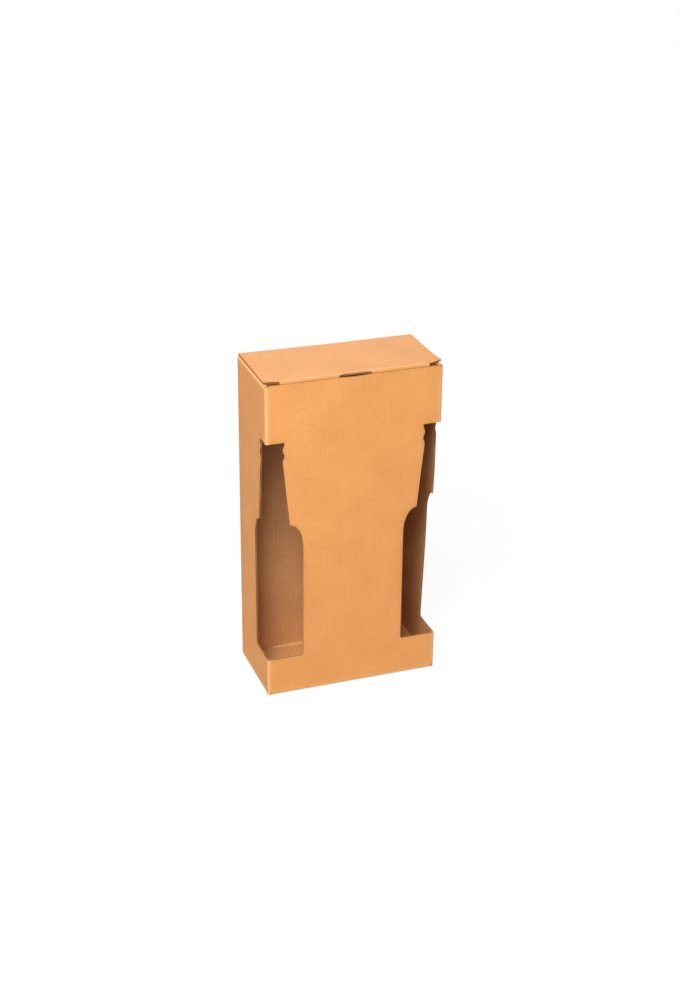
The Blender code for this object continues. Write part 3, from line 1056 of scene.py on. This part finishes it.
@dataclass(frozen=True)
class Window:
    """Window cut round a corner of the carton, half on the front and half on the side.

    From its foot up it has a straight body, a rounded shoulder, a neck and a ringed lip.
    """

    top: float
    base: float = 0.0295
    body_cut: float = 0.0275
    neck_root_cut: float = 0.0175
    lip_cut: float = 0.0132
    lip_wave: float = 0.0006
    lip_ring: float = 0.0090
    lip_rings: float = 1.5
    lip_start: float = 0.0015
    neck_length: float = 0.0490
    shoulder_height: float = 0.0190
    base_radius: float = 0.0020
    crown_radius: float = 0.0010
    shoulder_points: int = 19
    lip_points: int = 28

    def edge(self, start: float) -> Array:
        """Outline as (distance from the corner, height), from the base band to the top band.

        The shoulder is a quarter ellipse: root + (body - root) * cosine and base + height * sine of
        one turn. The lip is cut + wave * cosine(2 pi (height / ring - rings)).

        Args:
            start: distance from the corner at which the outline starts and ends.

        Returns:
            The outline's points.
        """
        lip_base = self.top - self.lip_start - self.lip_rings * self.lip_ring
        shoulder_base = lip_base - self.neck_length - self.shoulder_height
        foot = (self.body_cut - self.base_radius, self.base + self.base_radius)
        turn = np.linspace(0, math.pi / 2, self.shoulder_points)
        across = self.neck_root_cut + (self.body_cut - self.neck_root_cut) * np.cos(turn)
        shoulder = np.column_stack([across, shoulder_base + self.shoulder_height * np.sin(turn)])
        rise = self.lip_rings * self.lip_ring * np.linspace(0, 1, self.lip_points)
        wave = self.lip_wave * np.cos(2 * math.pi * (rise / self.lip_ring - self.lip_rings))
        lip = np.column_stack([self.lip_cut + wave, lip_base + rise])
        crown = self.lip_cut + self.lip_wave
        crown_centre = (crown - self.crown_radius, self.top - self.crown_radius)
        return np.vstack([
            [(start, self.base)],
            arc(foot, self.base_radius, -90, 0),
            shoulder,
            lip,
            arc(crown_centre, self.crown_radius, 0, 90)[1:],
            [(start, self.top)],
        ])


@dataclass
class Carton:
    """The outer size of the carton and the board that it is made of."""

    width: float
    depth: float
    height: float
    board: Board = field(default_factory=Board)
    top_band: float = 0.044
    notch_width: float = 0.0240

    @property
    def side_top(self) -> float:
        """Height of the score lines of the dust flaps, one board below the lid."""
        return self.height - self.board.edge

    @property
    def window(self) -> Window:
        """The window that goes round both front corners."""
        return Window(top=self.height - self.top_band)

    @property
    def seam_corner(self) -> float:
        """Outer face of the seam flap, one board inside the left wall."""
        return -self.width / 2 + self.board.edge

    @property
    def back_centre(self) -> float:
        """Middle of the back panel and the lid, which the seam sets off the carton's middle."""
        return (self.width / 2 + self.seam_corner) / 2

    @property
    def back_half(self) -> float:
        """Half the distance between the back panel's two corners."""
        return (self.width / 2 - self.seam_corner) / 2


@dataclass
class SubAssembly:
    """A group of pieces that are made from the same carton and the same papers."""

    carton: Carton
    materials: list[bpy.types.Material]

    def add(self, part: Union[Sheet, Fold], node: str, slot: str, body: str = "carton") -> None:
        """Build a piece that rides on one body.

        Args:
            part: the sheet or fold to build.
            node: the CAD node that it stands for.
            slot: its material slot, which is not used.
            body: the CAD body that it rides on.
        """
        piece = part.build(self.carton.board, self.materials)
        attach(piece, body)
        self.tell(piece, node, body)

    def add_bending(self, part: Fold, node: str, bodies: tuple[str, str],
                    ends: tuple[Sequence[float], Sequence[float]]) -> None:
        """Build a fold between two bodies, baked in place with no parent.

        Args:
            part: the fold to build.
            node: the CAD node that it stands for.
            bodies: the two CAD bodies that it joins.
            ends: the points where it meets the first and the second body, which are not used.
        """
        piece = part.build(self.carton.board, self.materials)
        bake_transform(piece)
        self.tell(piece, node, " to ".join(bodies))

    def tell(self, piece: bpy.types.Object, node: str, body: str) -> None:
        """Hide the CAD part that the piece stands for, and log it.

        Args:
            piece: the finished piece.
            node: the CAD node that it stands for.
            body: what it moves with, for the log.
        """
        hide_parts(node)
        log.info("%s: %d triangles on %s", piece.name, len(piece.data.polygons), body)


@dataclass
class Sleeve(SubAssembly):
    """Front, back and side panels, their corners and the glued seam."""

    top_setback: float = 0.0010
    notch_depth: float = 0.0005
    front_bow: float = 0.00035
    side_bow: tuple[float, float] = (0.0003, 0.0029)
    bow_top: float = 0.2270
    bow_front: float = 0.8
    bow_power: float = 1.3
    seam_width: float = 0.0140
    seam_end_setback: float = 0.0080
    seam_taper: float = 0.0040
    foot_gap: float = 0.0003
    back_layer: float = 0.31
    seam_layer: float = 0.33

    def build(self) -> None:
        """Make every wall of the sleeve."""
        self.front()
        self.sides()
        self.back()
        self.corners()

    def front(self) -> None:
        """Front panel: both windows, the finger notch and a slight bow outwards."""
        c, b = self.carton, self.carton.board
        half, top = c.width / 2, c.height - self.top_setback
        side = half - b.flat
        window = (half, 0.0) + c.window.edge(b.flat) * (-1.0, 1.0)
        radius, sweep = notch_arc(c.notch_width, self.notch_depth)
        centre = (0.0, top - self.notch_depth + radius)
        notch = arc(centre, radius, -90 + sweep, -90 - sweep, NOTCH_STEPS)
        right_half = np.vstack([[(side, b.flat)], window, [(side, top)]])
        outline = np.vstack([right_half, notch, mirrored(right_half)])

        def bow(u: Array, v: Array) -> Array:
            """Bow of the panel: a cosine across it times a sine up it."""
            return (-self.front_bow * np.cos(math.pi * u / (2 * side))
                    * np.sin(math.pi * (v - b.flat) / (top - b.flat)))

        stand = Stand((0, -c.depth / 2, 0), BACKWARD, UP)
        scores = (Score(0, side), Score(0, -side), Score(1, b.flat))
        sheet = Sheet("front_panel_board", outline, stand, scores, warp=bow)
        self.add(sheet, "front_panel", "board_outside")

    def sides(self) -> None:
        """Side panels: half of a window each, the left one with a raw edge over the seam."""
        c, b = self.carton, self.carton.board
        half, foot, score = c.depth / 2, b.edge + b.flat, c.side_top - b.flat
        front = half - b.flat
        window = (half, 0.0) + c.window.edge(b.flat) * (-1.0, 1.0)
        reach = c.width / 2 - b.flat + b.fold_length + half - b.flat
        sides = ((-1, "left", 0.0, self.side_bow[0]), (1, "right", b.flat, self.side_bow[1]))
        for side, name, back, amount in sides:
            foot_line = [(-half + back, foot), (front, foot)]
            score_line = [(front, score), (-half + back, score)]
            outline = np.vstack([foot_line, window, score_line])

            def bow(u: Array, v: Array, side: int = side, amount: float = amount) -> Array:
                """Bow outwards of the free edge beside the window.

                Forwards it is a quarter sine to the free edge and a quarter cosine from there to
                the corner; upwards it is a sine to a power.

                Args:
                    u: places across the panel.
                    v: heights.
                    side: -1 for the left panel, 1 for the right one.
                    amount: the panel's greatest bow.

                Returns:
                    How far each point lies inwards, which is below 0.
                """
                share = np.clip((half - side * u) / c.depth, 0, 1)
                rise = np.sin(math.pi / 2 * share / self.bow_front)
                fall = np.cos(math.pi / 2 * (share - self.bow_front) / (1 - self.bow_front))
                forwards = np.where(share < self.bow_front, rise, fall)
                climb = np.clip((v - c.window.base) / (self.bow_top - c.window.base), 0, 1)
                return -amount * forwards * np.sin(math.pi * climb) ** self.bow_power

            stand = Stand((side * c.width / 2, 0, 0), -side * RIGHT, UP)
            scores = (Score(0, -side * front), Score(1, foot), Score(1, score))
            if side > 0:
                outline = mirrored(outline)
                scores += (Score(0, front),)
            sheet = Sheet(f"{name}_side_panel_board", outline, stand, scores,
                          shift=(side * reach, 0.0), warp=bow)
            self.add(sheet, f"{name}_side_panel", "board_outside")

    def back(self) -> None:
        """Back panel and the seam flap that turns in from its left end."""
        c, b = self.carton, self.carton.board
        left, right = -c.width / 2 + b.flat, -c.seam_corner - b.flat
        low, high = b.flat, c.height - b.flat
        outline = np.array([(left, low), (right, low), (right, high), (left, high)])

        def bow(u: Array, v: Array) -> Array:
            """Bow of the panel: a sine across it times a sine up it."""
            return (-self.front_bow * np.sin(math.pi * (u - left) / (right - left))
                    * np.sin(math.pi * (v - low) / (high - low)))

        stand = Stand((0, c.depth / 2, 0), -BACKWARD, UP)
        scores = (Score(0, left), Score(0, right), Score(1, low), Score(1, high))
        sheet = Sheet("back_panel_board", outline, stand, scores, layer=self.back_layer, warp=bow)
        self.add(sheet, "back_panel", "board_outside")

        half = c.height / 2 - self.seam_end_setback
        outline = flap_outline(half, b.flat, self.seam_width, self.seam_taper)
        stand = Stand((c.seam_corner, c.depth / 2, c.height / 2), RIGHT, -BACKWARD)
        sheet = Sheet("seam_flap_board", outline, stand, (Score(1, b.flat),),
                      layer=self.seam_layer, flutes_along_score=True)
        self.add(sheet, "seam_flap", "board_inside")

    def corners(self) -> None:
        """Vertical folds: above and below the window at each front corner, and two at the back."""
        c, b = self.carton, self.carton.board
        half_width, half_depth = c.width / 2, c.depth / 2
        spans = {"top": (c.window.top, c.side_top), "base": (self.foot_gap, c.window.base)}
        for side, name in ((-1, "left"), (1, "right")):
            for part, (low, high) in spans.items():
                middle = (low + high) / 2
                fold = Fold(
                    f"{name}_front_{part}_fold", (side * half_width, -half_depth, middle), BACKWARD,
                    side * RIGHT, high - low, shift=(side * (half_width - b.flat), middle),
                    turn=side, flutes_with_line=True,
                )
                self.add(fold, f"{name}_front_{part}_corner", "board_fold")
        tall, middle = c.height - 2 * b.edge, c.height / 2
        for name, x, outward in (("right", half_width, RIGHT), ("left", c.seam_corner, -RIGHT)):
            fold = Fold(f"{name}_back_fold", (x, half_depth, middle), -BACKWARD, outward, tall,
                        layer=self.back_layer, shift=(x, middle), flutes_with_line=True)
            self.add(fold, f"{name}_back_corner", "board_fold")


@dataclass
class Bottom(SubAssembly):
    """Interlocking bottom: two plates with raised tongues and two side flaps on them."""

    slide_clear: float = 0.0008
    tongue_width: float = 0.0280
    tongue_root_setback: float = 0.0065
    tongue_lap: float = 0.0120
    tongue_ramp: float = 0.0050
    tongue_side_clear: float = 0.0055
    tongue_radius: float = 0.0050
    bottom_corner_cut: float = 0.0190
    side_corner_cut: float = 0.0100
    side_fold_bulge: float = 0.0018
    plate_layers: tuple[float, float] = (0.41, 0.43)
    side_layers: tuple[float, float] = (0.45, 0.47)
    ramp_bends: int = 7

    def build(self) -> None:
        """Make the bottom's flaps and their folds."""
        self.plates()
        self.side_flaps()
        self.folds()

    def plates(self) -> None:
        """Front and back plates, each with a tongue bent up by one layer over the other plate."""
        c, b = self.carton, self.carton.board
        half = c.width / 2 - b.thickness - self.slide_clear
        middle = (c.depth - b.join_gap) / 2
        root = c.depth / 2 - self.tongue_root_setback
        tip = c.depth / 2 + self.tongue_lap
        width, slit, radius = self.tongue_width, b.join_gap, self.tongue_radius
        outline = np.vstack([
            [(-half, b.flat), (half, b.flat), (half, middle - self.bottom_corner_cut)],
            [(half - self.bottom_corner_cut, middle), (width + slit, middle)],
            [(width + slit, root), (width, root)],
            arc((width - radius, tip - radius), radius, 0, 90),
            arc((slit + radius, tip - radius), radius, 90, 180),
            [(slit, root), (-slit, root), (-slit, middle)],
            [(-half + self.bottom_corner_cut, middle), (-half, middle - self.bottom_corner_cut)],
        ])

        def rise(u: Array, v: Array) -> Array:
            """Rise of the tongue: a smooth step of one layer over the ramp."""
            on_tongue = (u > 0) & (u < width + slit / 2)
            return np.where(on_tongue, b.edge * smooth((v - root) / self.tongue_ramp), 0.0)

        bends = tuple(root + self.tongue_ramp * np.linspace(0, 1, self.ramp_bends))
        for name, side, layer in zip(("front", "back"), (-1, 1), self.plate_layers):
            stand = Stand((0, side * c.depth / 2, 0), UP, -side * BACKWARD)
            sheet = Sheet(f"{name}_bottom_board", outline, stand, (Score(1, b.flat),),
                          layer=layer, warp=rise, bend_rows=bends)
            self.add(sheet, f"{name}_bottom_flap", "board_outside")

    def side_flaps(self) -> None:
        """Side flaps, which lie on the plates, clear of their tongues."""
        c, b = self.carton, self.carton.board
        half = c.depth / 2 - b.thickness - self.slide_clear
        reach = c.width / 2 - self.tongue_width - self.tongue_side_clear
        foot = reach - self.side_corner_cut
        outline = np.array([
            (-half, b.flat), (half, b.flat), (half, foot), (half - self.side_corner_cut, reach),
            (-half + self.side_corner_cut, reach), (-half, foot),
        ])
        for name, side, layer in zip(("left", "right"), (-1, 1), self.side_layers):
            stand = Stand((side * c.width / 2, 0, b.edge), UP, -side * RIGHT)
            sheet = Sheet(f"{name}_bottom_board", outline, stand, (Score(1, b.flat),), layer=layer)
            self.add(sheet, f"{name}_bottom_flap", "board_inside")

    def folds(self) -> None:
        """The four score lines under the walls."""
        c, b, side_bulge = self.carton, self.carton.board, self.side_fold_bulge
        half_width, half_depth = c.width / 2, c.depth / 2
        rows = (
            ("front", (0, -half_depth, 0), BACKWARD, c.width - 2 * b.edge, 0.0),
            ("back", (c.back_centre, half_depth, 0), -BACKWARD, 2 * (c.back_half - b.edge), 0.0),
            ("left", (-half_width, b.edge / 2, b.edge), RIGHT, c.depth - b.edge, side_bulge),
            ("right", (half_width, 0, b.edge), -RIGHT, c.depth - 2 * b.edge, side_bulge),
        )
        for name, origin, inward, length, bulge in rows:
            fold = Fold(f"{name}_bottom_score", origin, inward, -UP, length, bulge=bulge)
            self.add(fold, f"{name}_bottom_fold", "board_fold")


@dataclass
class Divider(SubAssembly):
    """The panel between the two bays, held by a tab that is glued to the back panel."""

    height: float = 0.1360
    tab_width: float = 0.0220
    corner_radius: float = 0.0120
    taper: float = 0.0040
    panel_layer: float = 0.51
    tab_layer: float = 0.53

    def build(self) -> None:
        """Make the divider, its fold and its tab."""
        c, b = self.carton, self.carton.board
        floor, reach = 2 * b.edge, c.depth / 2 - b.edge
        middle = floor + self.height / 2
        centre = (reach - self.corner_radius, self.height - self.corner_radius)
        back = -reach + b.flat
        outline = np.vstack([
            [(back, 0.0), (reach, 0.0)],
            arc(centre, self.corner_radius, 0, 90, LARGE_ARC_STEPS),
            [(back, self.height)],
        ])
        stand = Stand((-b.thickness / 2, 0, floor), RIGHT, UP)
        sheet = Sheet("divider_board", outline, stand, (Score(0, back),),
                      layer=self.panel_layer, inner_face_out=True)
        self.add(sheet, "centre_divider", "board_inside")

        origin = (-b.thickness / 2, reach, middle)
        fold = Fold("divider_score", origin, RIGHT, BACKWARD, self.height,
                    layer=self.panel_layer, shift=(-reach, middle), flutes_with_line=True)
        self.add(fold, "divider_fold", "board_fold")

        outline = flap_outline(self.height / 2, b.flat, self.tab_width, self.taper)
        stand = Stand(origin, -BACKWARD, RIGHT)
        sheet = Sheet("divider_tab_board", outline, stand, (Score(1, b.flat),),
                      layer=self.tab_layer, flutes_along_score=True, inner_face_out=True)
        self.add(sheet, "divider_tab", "board_inside")


@dataclass
class Closure(SubAssembly):
    """Dust flaps, lid and tuck flap, with the folds that they turn on."""

    lid_side_setback: float = 0.0001
    slit_length: float = 0.0095
    slit_spread: float = 0.0015
    slide_clear: float = 0.0008
    tuck_length: float = 0.0160
    tuck_clear: float = 0.0004
    tuck_swing_clear: float = 0.0003
    tuck_shoulder_drop: float = 0.0005
    tuck_radius: float = 0.0100
    tuck_notch_depth: float = 0.0050
    dust_reach: float = 0.0320
    dust_front_setback: float = 0.0050
    dust_back_setback: float = 0.0033
    dust_rise_ratio: float = 0.5
    dust_radius: float = 0.0060
    dust_layers: tuple[float, float] = (0.61, 0.63)
    # where the painted highlight peaks on the dust flaps' top folds
    top_fold_peak: float = 0.42
    top_fold_bulges: tuple[float, float] = (0.0, 0.0013)
    lid_overhang: tuple[float, float] = (0.0013, 0.0007)
    lid_lift: float = 0.0009
    lid_crown: float = 0.0002
    lid_layer: float = 0.71
    corner_curl: tuple[float, float] = (0.0001, 0.0016)
    curl_start: float = 0.6
    # painted highlight on the lid's front fold, and painted shade on its lower part, which turns
    # down behind the front panel
    front_fold_creases: tuple[float, float, float] = (0.0, 0.35, 1.0)
    front_fold_peak: float = 0.75
    front_fold_shade: float = 2.6

    @property
    def lid_reach(self) -> float:
        """Distance from the lid's hinge to its front fold."""
        return self.carton.depth - self.carton.board.thickness - self.tuck_clear

    @property
    def lid_half(self) -> float:
        """Half the width of the lid."""
        return self.carton.back_half - self.lid_side_setback

    @property
    def slit_inner(self) -> float:
        """Half the length of the lid's front fold, which ends at the slits."""
        return self.lid_half - self.slit_length

    @property
    def tuck_lean(self) -> float:
        """Lean of the tuck flap, with which its tip just clears the front panel as the lid opens.

        Returns:
            The angle in radians whose sine is (reach^2 + length^2 - swing^2) / (2 reach length).
        """
        swing = self.carton.depth - self.carton.board.thickness - self.tuck_swing_clear
        reach, length = self.lid_reach, self.tuck_length
        return math.asin((reach ** 2 + length ** 2 - swing ** 2) / (2 * reach * length))

    def build(self) -> None:
        """Make the flaps and folds of the top."""
        self.dust_flaps()
        self.lid()
        self.tuck()

    def dust_outline(self) -> Array:
        """Draw a dust flap with the front of the carton at +u and a slanted back edge.

        Its front edge keeps clear of the tuck flap's swing, and its back edge of the open lid's
        fold.

        Returns:
            The flap's outline.
        """
        c, b = self.carton, self.carton.board
        half = c.depth / 2
        front = half - b.thickness - self.dust_front_setback
        heel = -half + self.dust_back_setback
        slant = math.degrees(math.atan(self.dust_rise_ratio))
        toe = heel + self.dust_rise_ratio * (self.dust_reach - b.edge)
        rounding = self.dust_radius * (1 / math.cos(math.radians(slant)) - self.dust_rise_ratio)
        tip = self.dust_reach - self.dust_radius
        return np.vstack([
            [(heel + self.dust_rise_ratio * (b.flat - b.edge), b.flat), (front, b.flat)],
            arc((front - self.dust_radius, tip), self.dust_radius, 0, 90),
            arc((toe + rounding, tip), self.dust_radius, 90, 180 - slant),
        ])

    def dust_flaps(self) -> None:
        """Both dust flaps and the folds that they rise on."""
        c, b = self.carton, self.carton.board
        for side, name, layer in zip((-1, 1), ("left", "right"), self.dust_layers):
            x, z = side * c.width / 2, c.side_top
            outline = self.dust_outline() if side < 0 else mirrored(self.dust_outline())
            stand = Stand((x, 0, z), -UP, -side * RIGHT)
            sheet = Sheet(f"{name}_dust_board", outline, stand, (Score(1, b.flat),), layer=layer)
            self.add(sheet, f"{name}_dust_flap", "board_inside", f"{name}_dust")
            extra = b.edge if side < 0 else 0.0
            length = c.depth - 2 * b.edge + extra
            fold = Fold(f"{name}_top_score", (x, extra / 2, z), -side * RIGHT, UP, length,
                        peak=self.top_fold_peak, start_bulge=self.top_fold_bulges[int(side > 0)])
            ends = ((x, 0, z - b.fold_radius), (x - side * b.fold_radius, 0, z))
            self.add_bending(fold, f"{name}_top_fold", ("carton", f"{name}_dust"), ends)

    def lid(self) -> None:
        """Lid with a slight crown and its free front corners curled up, and its back fold."""
        c, b = self.carton, self.carton.board
        half, slit = self.lid_half, self.slit_inner
        front = self.lid_reach - b.flat
        left_over, right_over = self.lid_overhang
        left_half = np.array([(half, b.flat), (half, front - self.slit_spread), (slit, front)])
        right_half = mirrored(left_half)
        left_half[:2, 0] += left_over
        right_half[1:, 0] -= right_over
        outline = np.vstack([left_half, right_half])
        hinge = (c.back_centre, c.depth / 2, c.height)

        def rise(u: Array, v: Array) -> Array:
            """Rise of the lid.

            Its crown is a cosine across and a sine backwards, the curl of its front corners a
            square towards each, and its left back corner is lifted in a straight line from the
            middle and from the front.

            Args:
                u: places across the lid, the left end at +u.
                v: distances from the hinge.

            Returns:
                How far each point lies inwards, which is below 0.
            """
            arch = np.sin(math.pi * (v - b.flat) / (front - b.flat))
            crown = np.cos(math.pi * u / (2 * half)) * arch
            lift = self.lid_lift * np.clip(u / half, 0, 1) * (front - v) / (front - b.flat)
            outwards = np.clip((np.abs(u) - slit) / (half - slit), 0, 1) ** 2
            start = self.curl_start
            forwards = np.clip((v - start * front) / ((1 - start) * front), 0, 1) ** 2
            curl = np.where(u > 0, self.corner_curl[0], self.corner_curl[1])
            return -self.lid_crown * np.maximum(crown, 0) - curl * outwards * forwards - lift

        stand = Stand(hinge, -UP, -BACKWARD)
        # a crease value of 1 at the front score paints the highlight on the lid beside its front
        # fold
        scores = (Score(1, b.flat), Score(1, front, 1.0))
        sheet = Sheet("lid_board", outline, stand, scores, layer=self.lid_layer, warp=rise)
        self.add(sheet, "lid_panel", "board_outside", "lid")

        line = (c.back_centre + (right_over - left_over) / 2, c.depth / 2, c.height)
        length = 2 * (c.back_half - b.join_gap) + left_over + right_over
        fold = Fold("lid_back_score", line, -BACKWARD, UP, length, lift=self.lid_lift)
        ends = (
            (0, c.depth / 2 - b.fold_radius, c.height),
            (0, c.depth / 2, c.height - b.fold_radius),
        )
        self.add_bending(fold, "lid_back_fold", ("lid", "carton"), ends)

    def tuck(self) -> None:
        """Tuck flap behind the front panel and the lid's front fold, both notched for a finger."""
        c, b = self.carton, self.carton.board
        line = (c.back_centre, c.depth / 2 - self.lid_reach, c.height)
        sine, cosine = math.sin(self.tuck_lean), math.cos(self.tuck_lean)
        inward = cosine * BACKWARD + sine * UP
        reach = sine * BACKWARD - cosine * UP
        half = c.width / 2 - b.thickness - self.slide_clear - c.back_centre
        corner = (half - self.tuck_radius, self.tuck_length - self.tuck_radius)
        shoulder = b.flat + self.tuck_shoulder_drop
        slit = self.slit_inner - b.join_gap
        right = np.vstack([
            [(slit, b.flat), (slit, shoulder), (half, shoulder)],
            arc(corner, self.tuck_radius, 0, 90, LARGE_ARC_STEPS),
        ])
        radius, sweep = notch_arc(c.notch_width, self.tuck_notch_depth)
        centre = (0.0, b.edge + self.tuck_notch_depth - radius)
        notch = arc(centre, radius, 90 + sweep, 90 - sweep, NOTCH_STEPS)
        notch = notch[notch[:, 1] > b.flat]
        outline = np.vstack([right, mirrored(right), notch])
        stand = Stand(line, inward, reach)
        sheet = Sheet("tuck_board", outline, stand, (Score(1, b.flat),), layer=self.lid_layer)
        self.add(sheet, "tuck_flap", "board_outside", "tuck")

        fold = Fold("lid_front_score", line, BACKWARD, UP, 2 * self.slit_inner, notch=c.notch_width,
                    creases=self.front_fold_creases, peak=self.front_fold_peak,
                    shade=self.front_fold_shade)
        x, y, z = line
        ends = ((x, y + b.fold_radius, z), (x, y, z - b.fold_radius))
        self.add_bending(fold, "lid_front_fold", ("lid", "tuck"), ends)


@dataclass
class Studio:
    """Camera, lamps, floor and sky of a plain pale studio round the carton."""

    carton: Carton
    focal_pixels: float = 1786.5
    frame_pixels: float = 1000.0
    sensor: float = 36.0
    place: tuple[float, float, float] = (-0.3994, -1.1076, 0.6938)
    azimuth: float = -19.876
    elevation: float = 25.391
    roll: float = 0.504
    clip: tuple[float, float] = (0.01, 50.0)
    sky_strength: float = 0.285
    warm: Colour = (1.0, 0.985, 0.96)
    cool: Colour = (0.88, 0.96, 1.0)
    floor_size: float = 6.0
    floor_level: float = -0.0002
    floor_colours: tuple[Colour, Colour] = ((0.49, 0.49, 0.50), (0.52, 0.52, 0.53))
    floor_grain: float = 3.0
    floor_glow: float = 1.2
    floor_lift: float = 0.74
    covered_setback: float = 0.0035

    def camera(self) -> None:
        """Camera of a fitted pinhole: right, up and back axes from azimuth, elevation and roll."""
        a, e, r = (math.radians(angle) for angle in (self.azimuth, self.elevation, self.roll))
        back = np.array([math.sin(a) * math.cos(e), -math.cos(a) * math.cos(e), math.sin(e)])
        right = np.array([math.cos(a), math.sin(a), 0.0])
        up = np.cross(back, right)
        sine, cosine = math.sin(r), math.cos(r)
        axes = (cosine * right + sine * up, -sine * right + cosine * up, back)
        turned = Matrix([list(axis) for axis in axes]).transposed().to_4x4()
        data = bpy.data.cameras.new("camera")
        data.sensor_width = self.sensor
        data.lens = self.sensor * self.focal_pixels / self.frame_pixels
        data.clip_start, data.clip_end = self.clip
        camera = bpy.data.objects.new("camera", data)
        camera.matrix_world = Matrix.Translation(self.place) @ turned
        bpy.context.scene.collection.objects.link(camera)
        bpy.context.scene.camera = camera

    def lamp(self, name: str, place: Sequence[float], target: Sequence[float], size: float,
             power: float, colour: Colour) -> None:
        """Square area lamp.

        Args:
            name: the lamp's name.
            place: where it hangs.
            target: the point that it faces.
            size: length of its sides.
            power: its power in watts.
            colour: its colour.
        """
        data = bpy.data.lights.new(name, "AREA")
        data.shape = "SQUARE"
        data.size, data.energy, data.color = size, power, colour
        lamp = bpy.data.objects.new(name, data)
        lamp.location = place
        lamp.rotation_euler = (Vector(target) - lamp.location).to_track_quat("-Z", "Y").to_euler()
        bpy.context.scene.collection.objects.link(lamp)

    def sun(self, name: str, direction: Sequence[float], power: float, spread: float,
            colour: Colour) -> None:
        """Distant lamp with soft shadows, the same everywhere.

        Args:
            name: the lamp's name.
            direction: the way from the carton to the lamp.
            power: its strength in watts per square metre.
            spread: the angle that it fills, in degrees.
            colour: its colour.
        """
        data = bpy.data.lights.new(name, "SUN")
        data.energy, data.angle, data.color = power, math.radians(spread), colour
        lamp = bpy.data.objects.new(name, data)
        lamp.rotation_euler = (-Vector(direction)).to_track_quat("-Z", "Y").to_euler()
        bpy.context.scene.collection.objects.link(lamp)

    def lamps(self) -> None:
        """Soft key from the front left, cool rim from behind, and a near lamp at the upper left."""
        self.sun("key_lamp", direction=(-0.355, -0.545, 0.735), power=2.18, spread=32.0,
                 colour=self.warm)
        self.sun("rim_lamp", direction=(0.10, 0.91, 0.34), power=0.8, spread=45.0,
                 colour=self.cool)
        self.lamp("near_lamp", place=(-0.25, -0.35, 0.40), target=(-0.02, -0.03, 0.18), size=0.2,
                  power=0.85, colour=self.warm)

    def sky(self) -> None:
        """Even sky light, which the camera, gloss and glass see as plain white."""
        world = bpy.data.worlds.new("sky")
        bpy.context.scene.world = world
        world.use_nodes = True
        tree = ShaderTree(world.node_tree)
        rays = [tree.node("ShaderNodeLightPath", {}, {}, f"Is {kind} Ray")
                for kind in ("Camera", "Glossy", "Transmission")]
        seen = rays[0].math("MAXIMUM", rays[1].math("MAXIMUM", rays[2]))
        strength = self.sky_strength + (1.0 - self.sky_strength) * seen
        background = tree.node("ShaderNodeBackground", {}, {"Color": WHITE, "Strength": strength})
        tree.node("ShaderNodeOutputWorld", {}, {"Surface": background})

    def floor(self) -> None:
        """White floor: a dull surface that the camera sees lifted towards white, with its shadow.

        Under the carton, from a setback inside its outline, it isn't lifted, so that what shows of
        it through the gaps of the bottom is dark.
        """
        material, tree = ShaderTree.material("pale_floor")
        place = tree.node("ShaderNodeTexCoord", {}, {}, "Object")
        colour = tree.mix(tree.noise(place, self.floor_grain), *self.floor_colours)
        paint = tree.node("ShaderNodeBsdfDiffuse", {}, {"Color": colour})
        glow = tree.node("ShaderNodeEmission", {}, {"Color": WHITE, "Strength": self.floor_glow})
        seen = tree.node("ShaderNodeLightPath", {}, {}, "Is Camera Ray")
        offsets = [
            tree.node("ShaderNodeSeparateXYZ", {}, {0: place}, axis).math("ABSOLUTE")
            * (2 / (size - 2 * self.covered_setback))
            for axis, size in enumerate((self.carton.width, self.carton.depth))
        ]
        lifted = seen * offsets[0].math("MAXIMUM", offsets[1]).math("GREATER_THAN", 1.0)
        inputs = {0: lifted * self.floor_lift, 1: paint, 2: glow}
        mixed = tree.node("ShaderNodeMixShader", {}, inputs)
        tree.node("ShaderNodeOutputMaterial", {}, {"Surface": mixed})
        half = self.floor_size / 2
        mesh = bpy.data.meshes.new("floor")
        corners = [(x, y, self.floor_level)
                   for x, y in ((-half, -half), (half, -half), (half, half), (-half, half))]
        mesh.from_pydata(corners, [], [(0, 1, 2, 3)])
        mesh.materials.append(material)
        floor = bpy.data.objects.new("floor", mesh)
        bpy.context.scene.collection.objects.link(floor)
        floor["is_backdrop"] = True

    def build(self) -> None:
        """Set up the studio."""
        bpy.context.scene.view_settings.view_transform = "Standard"
        self.camera()
        self.lamps()
        self.sky()
        self.floor()


def main() -> None:
    """Load the frame, build every piece of board around it and set up the studio."""
    logging.basicConfig(level=logging.INFO, format="%(name)s: %(message)s")
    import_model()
    low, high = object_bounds()
    size = high - low
    carton = Carton(width=size.x, depth=size.y, height=size.z)
    materials = Papers().materials()
    for group in (Sleeve, Bottom, Divider, Closure):
        log.info("%s", group.__name__)
        group(carton, materials).build()
    Studio(carton).build()


if __name__ == "__main__":
    main()
